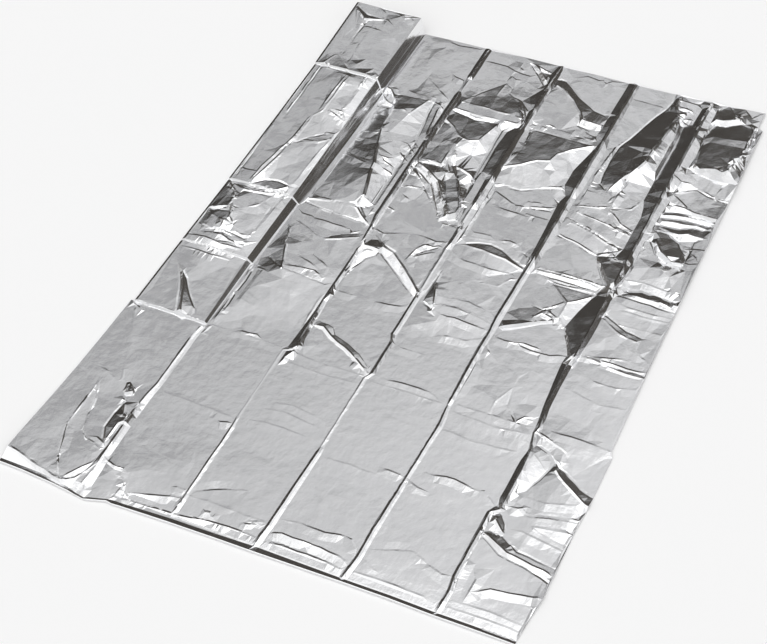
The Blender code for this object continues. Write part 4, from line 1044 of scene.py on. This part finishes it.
def rimmed_net():
    """A net with only the sheet's outline and the steps of the lifted column, and the outline's bends."""
    net = Net()
    far_row, _, rim_top, wall_top, wall_foot, _ = LIFTED[-1]
    far_wall = [(wall_foot + share * (wall_top - wall_foot), far_row, 0) for share, _, _ in WALL_PLEATS]
    far_rim = [(rim_top + BEVEL_WIDTH, far_row, 0), (rim_top, far_row, 0)]
    rim = [(foot, row, 0) for row, foot, *_ in reversed(LIFTED)]
    right = [(column, row, height) for row, column, height in RIGHT_EDGE]
    left = [(column, row, height) for row, column, height in LEFT_EDGE]
    front = finely_cut([station[:3] for station in FRONT_EDGE], FRONT_STEP)
    lip = finely_cut([(column, row + lip, 0) for column, row, height, lip in FRONT_EDGE], FRONT_STEP)
    outline = net.fold([*front, *right, *FAR_EDGE, *far_wall, *far_rim, *rim, *left])
    net.folds.append((outline[-1], outline[0]))
    net.rim = len(net.folds)
    net.fold(lip)
    for bevel in (0, BEVEL_WIDTH):
        net.fold([(top + bevel, row, 0) for row, _, top, *_ in LIFTED])
    for share, _, _ in WALL_PLEATS:
        net.fold([(top + share * (foot - top), row, 0) for row, _, _, top, foot, _ in LIFTED])
    return net, outline


def fold_lines():
    """The folds where they are, as lists of bends: the sharp ones, then the soft feet of long creases."""
    corners = {}

    def corner(bend):
        return corners.setdefault((round(bend[0], 3), round(bend[1], 3)), placed(bend))

    def long_line(stations, part):
        bends = [corner((station[1 + part], station[0], station[4 + part])) for station in stations]
        return wandering(bends, LONG_RAGGED, LONG_UNEVEN)

    sharp = [wandering([corner(bend) for bend in bends], RAGGED, UNEVEN) for bends in FOLDS.values()]
    soft = []
    for stations in LONG_CREASES.values():
        sharp.append(long_line(stations, CREST))
        soft.extend(long_line(stations, part) for part in (FOOT, FAR_FOOT))
    return sharp, soft


class Ground:
    """The plain facets between the folds, for looking up heights."""

    def __init__(self, corners, triangles):
        self.tree = BVHTree.FromPolygons([Vector(corner) for corner in corners], triangles)

    def height(self, place):
        """Height in mm at a place, or None outside the sheet."""
        hit = self.tree.ray_cast(Vector((place[0], place[1], HIGH_UP)), Vector((0.0, 0.0, -1.0)))[0]
        return None if hit is None else hit.z

    def keenness(self, place):
        """How far in mm the ground at a place stands over the ground round it."""
        here = self.height(place)
        turns = [2 * pi * turn / RING for turn in range(RING)]
        ring = [(place[0] + CREST_WIDTH * cos(t), place[1] + CREST_WIDTH * sin(t)) for t in turns]
        found = [height for height in map(self.height, ring) if height is not None]
        if here is None or len(found) < RING:
            return 0.0
        return here - sum(found) / RING


def is_level(place):
    """True away from the lifted column's rim and wall, where more bends may be added."""
    if is_flat(place[1]):
        return True
    _, rim_top, wall_top, wall_foot, _ = along(LIFTED, place[1])
    return rim_top + BEVEL_WIDTH < place[0] < wall_top or place[0] > wall_foot


def keen_line(bends, ground):
    """A fold's bends with how far in mm each is pressed out over the facets."""
    points = finely_cut(bends, CREST_STEP)
    return [(p[0], p[1], limited(KEENNESS * ground.keenness(p), -KEEN_MOST, KEEN_MOST)) for p in points]


def crease_line(height, bends):
    """A crease's bends with how far in mm each stands over the facets, less at its ends."""
    if len(bends) > 2:
        shares = (END_SHARE, *[1.0] * (len(bends) - 2), END_SHARE)
    else:
        shares = (SHORT_SHARE, SHORT_SHARE)
    places = [placed((*bend, 0.0))[:2] for bend in bends]
    rises = [CREASE_GAIN * height * share for share in shares]
    true = [(*place, rise) for place, rise in zip(places, rises)]
    return finely_cut(wandering(true, RAGGED, UNEVEN), CREST_STEP)


def both_sides(line, number, is_crease):
    """The two places of plain film beside a point of a line. A crease's bright side is wider."""
    column, row, rise = line[number]
    before, after = line[max(0, number - 1)], line[min(len(line) - 1, number + 1)]
    way = Vector((after[0] - before[0], after[1] - before[1]))
    if way.length == 0:
        return []
    way = way.normalized() * CREST_WIDTH
    sides = [Vector((-way.y, way.x)), Vector((way.y, -way.x))]
    for side in sides:
        if is_crease and side.dot(Vector(BRIGHT_SIDE)) * rise > 0:
            side *= BRIGHT_WIDTH
    return [(column + side.x, row + side.y) for side in sides]


def press(net, ground, line, is_crease):
    """Adds a line to the net where the sheet is level. Returns the places beside it."""
    beside = []
    run = []
    for number, (column, row, rise) in enumerate(line):
        base = ground.height((column, row))
        if base is None or not is_level((column, row)):
            net.fold(run)
            run = []
            continue
        run.append((column, row, base + rise))
        beside.extend(both_sides(line, number, is_crease))
    net.fold(run)
    return beside


def chance_spot(column, row):
    """Where a place looks up its numbers drawn by chance."""
    return Vector((column * CHANCE_SCALE[0], row * CHANCE_SCALE[1], CHANCE_SCALE[2]))


def chance_places():
    """Places over all of the sheet, each moved a little by chance."""
    places = []
    for column in np.arange(*CHANCE_COLUMNS):
        for row in np.arange(*CHANCE_ROWS):
            side, ahead, _ = noise.cell_vector(chance_spot(column, row)) * 2 - Vector((1, 1, 1))
            side, ahead = (part * CRUMPLE_STEP * CHANCE_SPREAD for part in (side, ahead))
            places.append((column + side, row + ahead))
    return places


def kink_places():
    """Places along the rows where the slope of the base changes."""
    front_rows = [row for row, _ in FRONT_LIFT[1:4]]
    lifted_rows = [row for row, *_ in LIFTED]
    places = [(float(column), row) for row in front_rows for column in np.arange(*FRONT_KINKS)]
    return places + [(float(column), row) for row in lifted_rows for column in np.arange(*LIFTED_KINKS)]


def add_between(net, ground, places, gap, ragged):
    """Adds bends on the ground where no other stands within the gap, up or down by chance if ragged."""
    tree = KDTree(len(net.bends))
    for number, bend in enumerate(net.bends):
        tree.insert((bend[0], bend[1], 0.0), number)
    tree.balance()
    for place in places:
        base = ground.height(place)
        if base is not None and is_level(place) and tree.find((*place, 0.0))[2] > gap:
            chance = noise.cell(chance_spot(*place)) * 2 - 1
            net.number((*place, base + ragged * chance * along(CRUMPLES, place[1])[0]))


def drawn_net():
    """The net with every fold pressed sharp, every crease added and small chance bends between them."""
    net, outline = rimmed_net()
    sharp, soft = fold_lines()
    for bends in (*sharp, *soft):
        net.fold(bends)
    ground = Ground(*net.facets(outline))
    net, outline = rimmed_net()
    for bends in soft:
        net.fold(bends)
    beside = []
    for bends in sharp:
        beside.extend(press(net, ground, keen_line(bends, ground), False))
    for height, *bends in CREASES:
        beside.extend(press(net, ground, crease_line(height, bends), True))
    add_between(net, ground, beside, BESIDE_GAP, 0.0)
    add_between(net, ground, kink_places(), KINK_GAP, 0.0)
    add_between(net, ground, chance_places(), CHANCE_GAP, 1.0)
    return net, outline


def subdivided(corners, triangles, cuts):
    """Every triangle cut into cuts x cuts flat ones, sharing points along their edges."""
    points = np.array(corners)
    found = {}
    places = []
    faces = []

    def place(ids, weights):
        key = tuple(sorted((i, w) for i, w in zip(ids, weights) if w))
        if key not in found:
            found[key] = len(places)
            places.append(sum(w * points[i] for i, w in key) / cuts)
        return found[key]

    for triangle in triangles:
        rows = []
        for a in range(cuts + 1):
            rows.append([place(triangle, (cuts - a - b, a, b)) for b in range(cuts + 1 - a)])
        for a in range(cuts):
            for b in range(cuts - a):
                faces.append((rows[a][b], rows[a + 1][b], rows[a][b + 1]))
                if b < cuts - a - 1:
                    faces.append((rows[a + 1][b], rows[a + 1][b + 1], rows[a][b + 1]))
    return np.array(places), faces


def waviness(column, row):
    """Small waves in mm of the film at a place."""
    spot = Vector((column * WAVE_SCALE[0], row * WAVE_SCALE[1], WAVE_SPOT))
    broad = noise.noise(spot) * WAVE_HEIGHT
    fine = noise.noise(spot * FINE_SCALE + Vector(FINE_SPOT)) * FINE_HEIGHT
    return broad + fine


def open_sheet():
    """The film's surface as one open mesh, before its front edge is turned under."""
    net, outline = drawn_net()
    places, faces = subdivided(*net.facets(outline), CUTS)
    sheet = bmesh.new()
    grid = sheet.loops.layers.uv.new("grid")
    for column, row, height in places:
        z = height + lift(column, row) + waviness(column, row)
        x = column * COLUMN + pleat_offset(column, row) * MM
        sheet.verts.new((x - SHIFT[0], row * ROW - SHIFT[1], max(z, 0.0) * MM + FILM_LIFT))
    sheet.verts.ensure_lookup_table()
    for triangle in faces:
        face = sheet.faces.new([sheet.verts[corner] for corner in triangle])
        for loop, corner in zip(face.loops, triangle):
            loop[grid].uv = places[corner][:2]
    strays = [vert for vert in sheet.verts if not vert.link_faces]
    bmesh.ops.delete(sheet, geom=strays, context="VERTS")
    sheet.verts.index_update()
    return sheet


def on_line(point, line):
    """True where a point stands over a line of straight runs."""
    for start, end in zip(line, line[1:]):
        run = end - start
        share = (point.xy - start).dot(run) / run.length_squared
        is_along = -SAME_PLACE < share < 1 + SAME_PLACE
        if is_along and (start + share * run - point.xy).length < SAME_PLACE:
            return True
    return False


def turn_front_under(sheet):
    """Carries the front edge round the turn and back along the floor as the flap."""
    ends = [(column, row) for column, row, _, _ in FRONT_EDGE]
    ends.append((RIGHT_EDGE[0][1], RIGHT_EDGE[0][0]))
    front = [Vector((column * COLUMN, row * ROW)) - Vector(SHIFT) for column, row in ends]
    rim = [vert for vert in sheet.verts if vert.is_boundary and on_line(vert.co, front)]
    rim.sort(key=lambda vert: vert.co.x)
    tops = [vert.co.copy() for vert in rim]
    grid = sheet.loops.layers.uv["grid"]
    spots = [((top.x + SHIFT[0]) / COLUMN, (top.y + SHIFT[1]) / ROW) for top in tops]
    angles = [pi / 2 - pi * step / TURN_STEPS for step in range(1, TURN_STEPS + 1)]
    for angle in (*angles, None):
        line = []
        for top in tops:
            radius = (top.z - FLAP_HEIGHT) / 2
            if angle is None:
                place = (top.x, top.y + FLAP_LENGTH, FLAP_HEIGHT)
            else:
                place = (top.x, top.y - radius * cos(angle), FLAP_HEIGHT + radius * (1 + sin(angle)))
            line.append(sheet.verts.new(place))
        for corners, left, right in zip(zip(rim[1:], rim, line, line[1:]), spots, spots[1:]):
            face = sheet.faces.new(corners)
            for loop, spot in zip(face.loops, (right, left, left, right)):
                loop[grid].uv = spot
        rim = line


def joined(tree, socket, value):
    """Sets a shader node's input, or links it where the value is another node's output."""
    if isinstance(value, bpy.types.NodeSocket):
        tree.links.new(value, socket)
    else:
        socket.default_value = value


def node(tree, kind, **inputs):
    """A shader node with some of its inputs set or linked."""
    made = tree.nodes.new(kind)
    for name, value in inputs.items():
        joined(tree, made.inputs[name.replace("_", " ")], value)
    return made


def calculated(tree, operation, *values):
    """The output of a Math node."""
    made = node(tree, "ShaderNodeMath")
    made.operation = operation
    for socket, value in zip(made.inputs, values):
        joined(tree, socket, value)
    return made.outputs[0]


def mixed(tree, blend, factor, first, second):
    """The output of a Mix node for colours."""
    made = node(tree, "ShaderNodeMix")
    made.data_type = "RGBA"
    made.blend_type = blend
    for number, value in zip(MIX_INPUTS, (factor, first, second)):
        joined(tree, made.inputs[number], value)
    return made.outputs[MIX_OUTPUT]


def foil_material():
    """Mirror-bright film with a fine crinkle, and faint unevenness in its tone and roughness."""
    material = bpy.data.materials.new("foil")
    material.use_nodes = True
    tree = material.node_tree
    shader = tree.nodes["Principled BSDF"]
    shader.inputs["Metallic"].default_value = 1.0
    grid = node(tree, "ShaderNodeUVMap")
    grid.uv_map = "grid"
    fine = node(tree, "ShaderNodeTexNoise", Vector=grid.outputs[0], **FINE_MOTTLE).outputs["Fac"]
    broad = node(tree, "ShaderNodeTexNoise", Vector=grid.outputs[0], **BROAD_MOTTLE).outputs["Fac"]
    shade = node(tree, "ShaderNodeValToRGB", Fac=broad)
    for element, colour in zip(shade.color_ramp.elements, (FOIL_DARK, FOIL_LIGHT)):
        element.color = colour
    joined(tree, shader.inputs["Base Color"], shade.outputs[0])
    low, high = FOIL_ROUGHNESS
    rough = node(tree, "ShaderNodeMapRange", Value=broad, To_Min=low, To_Max=high)
    joined(tree, shader.inputs["Roughness"], rough.outputs[0])
    height = calculated(tree, "MULTIPLY_ADD", fine, FINE_SHARE, broad)
    bump = node(tree, "ShaderNodeBump", Height=height, Distance=BUMP_DEPTH)
    joined(tree, shader.inputs["Normal"], bump.outputs[0])
    return material


def ramp(tree, value, stops, full):
    """Light by angle: stops are (angle, red, green, blue), and full is the last angle."""
    made = node(tree, "ShaderNodeValToRGB", Fac=calculated(tree, "DIVIDE", value, full))
    elements = made.color_ramp.elements
    while len(elements) < len(stops):
        elements.new(0.5)
    for element, (angle, *_) in zip(elements, stops):
        element.position = angle / full
    for element, (_, *colour) in zip(elements, stops):
        element.color = (*[level / LIGHT_STRENGTH for level in colour], 1.0)
    return made.outputs[0]


def lit_world():
    """Soft studio light by direction: bright above and at the sides, a dark room low behind the sheet."""
    world = bpy.data.worlds.new("studio")
    bpy.context.scene.world = world
    world.use_nodes = True
    tree = world.node_tree
    away = node(tree, "ShaderNodeTexCoord").outputs["Generated"]
    x, y, z = node(tree, "ShaderNodeSeparateXYZ", Vector=away).outputs
    up = calculated(tree, "MULTIPLY", calculated(tree, "ARCSINE", z), 180 / pi)
    across = calculated(tree, "MULTIPLY", calculated(tree, "ARCTAN2", x, y), 180 / pi)
    turned = calculated(tree, "MULTIPLY_ADD", across, 0.5, 90)
    front = ramp(tree, up, FRONT_LIGHT, 90)
    gain = ramp(tree, turned, BACK_GAIN, 180)
    back = mixed(tree, "MULTIPLY", 1.0, ramp(tree, up, BACK_LIGHT, 90), gain)
    whole = node(tree, "ShaderNodeVectorMath")
    whole.operation = "SCALE"
    joined(tree, whole.inputs[0], back)
    joined(tree, whole.inputs["Scale"], LIGHT_STRENGTH)
    light = mixed(tree, "MIX", ramp(tree, turned, BACK_SHARE, 180), front, whole.outputs[0])
    background = tree.nodes["Background"]
    joined(tree, background.inputs["Color"], light)
    joined(tree, background.inputs["Strength"], LIGHT_STRENGTH)


def pale_floor():
    """A plain pale floor under the sheet."""
    bpy.ops.mesh.primitive_plane_add(size=FLOOR_SIZE, location=(0, 0, FLOOR_LEVEL))
    floor = bpy.context.object
    floor.name = "floor"
    paint = bpy.data.materials.new("floor")
    paint.use_nodes = True
    shader = paint.node_tree.nodes["Principled BSDF"]
    shader.inputs["Base Color"].default_value = FLOOR_COLOUR
    shader.inputs["Roughness"].default_value = FLOOR_ROUGHNESS
    shader.inputs["Specular IOR Level"].default_value = 0.0
    floor.data.materials.append(paint)


def camera():
    """The camera, above the near right of the sheet and rolled a little."""
    data = bpy.data.cameras.new("camera")
    data.sensor_width = SENSOR_WIDTH
    data.lens = CAMERA_FOCUS / IMAGE_WIDTH * data.sensor_width
    view = bpy.data.objects.new("camera", data)
    bpy.context.scene.collection.objects.link(view)
    right = Vector(CAMERA_RIGHT).normalized()
    back = -Vector(CAMERA_FORWARD).normalized()
    up = back.cross(right).normalized()
    right = up.cross(back)
    turn = Matrix((right, up, back)).transposed()
    place = Vector(CAMERA_PLACE) * COLUMN - Vector((*SHIFT, 0))
    view.matrix_world = Matrix.Translation(place) @ turn.to_4x4()
    bpy.context.scene.camera = view


def film_object():
    """The film as one object with its material."""
    sheet = open_sheet()
    turn_front_under(sheet)
    mesh = bpy.data.meshes.new("foil_film")
    sheet.to_mesh(mesh)
    sheet.free()
    mesh.materials.append(foil_material())
    film = bpy.data.objects.new("foil_film", mesh)
    bpy.context.scene.collection.objects.link(film)
    return film


noise.seed_set(NOISE_SEED)
film = film_object()
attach(film, "root")
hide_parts("foil_sheet")

lit_world()
pale_floor()
camera()
bpy.context.scene.view_settings.view_transform = "Standard"
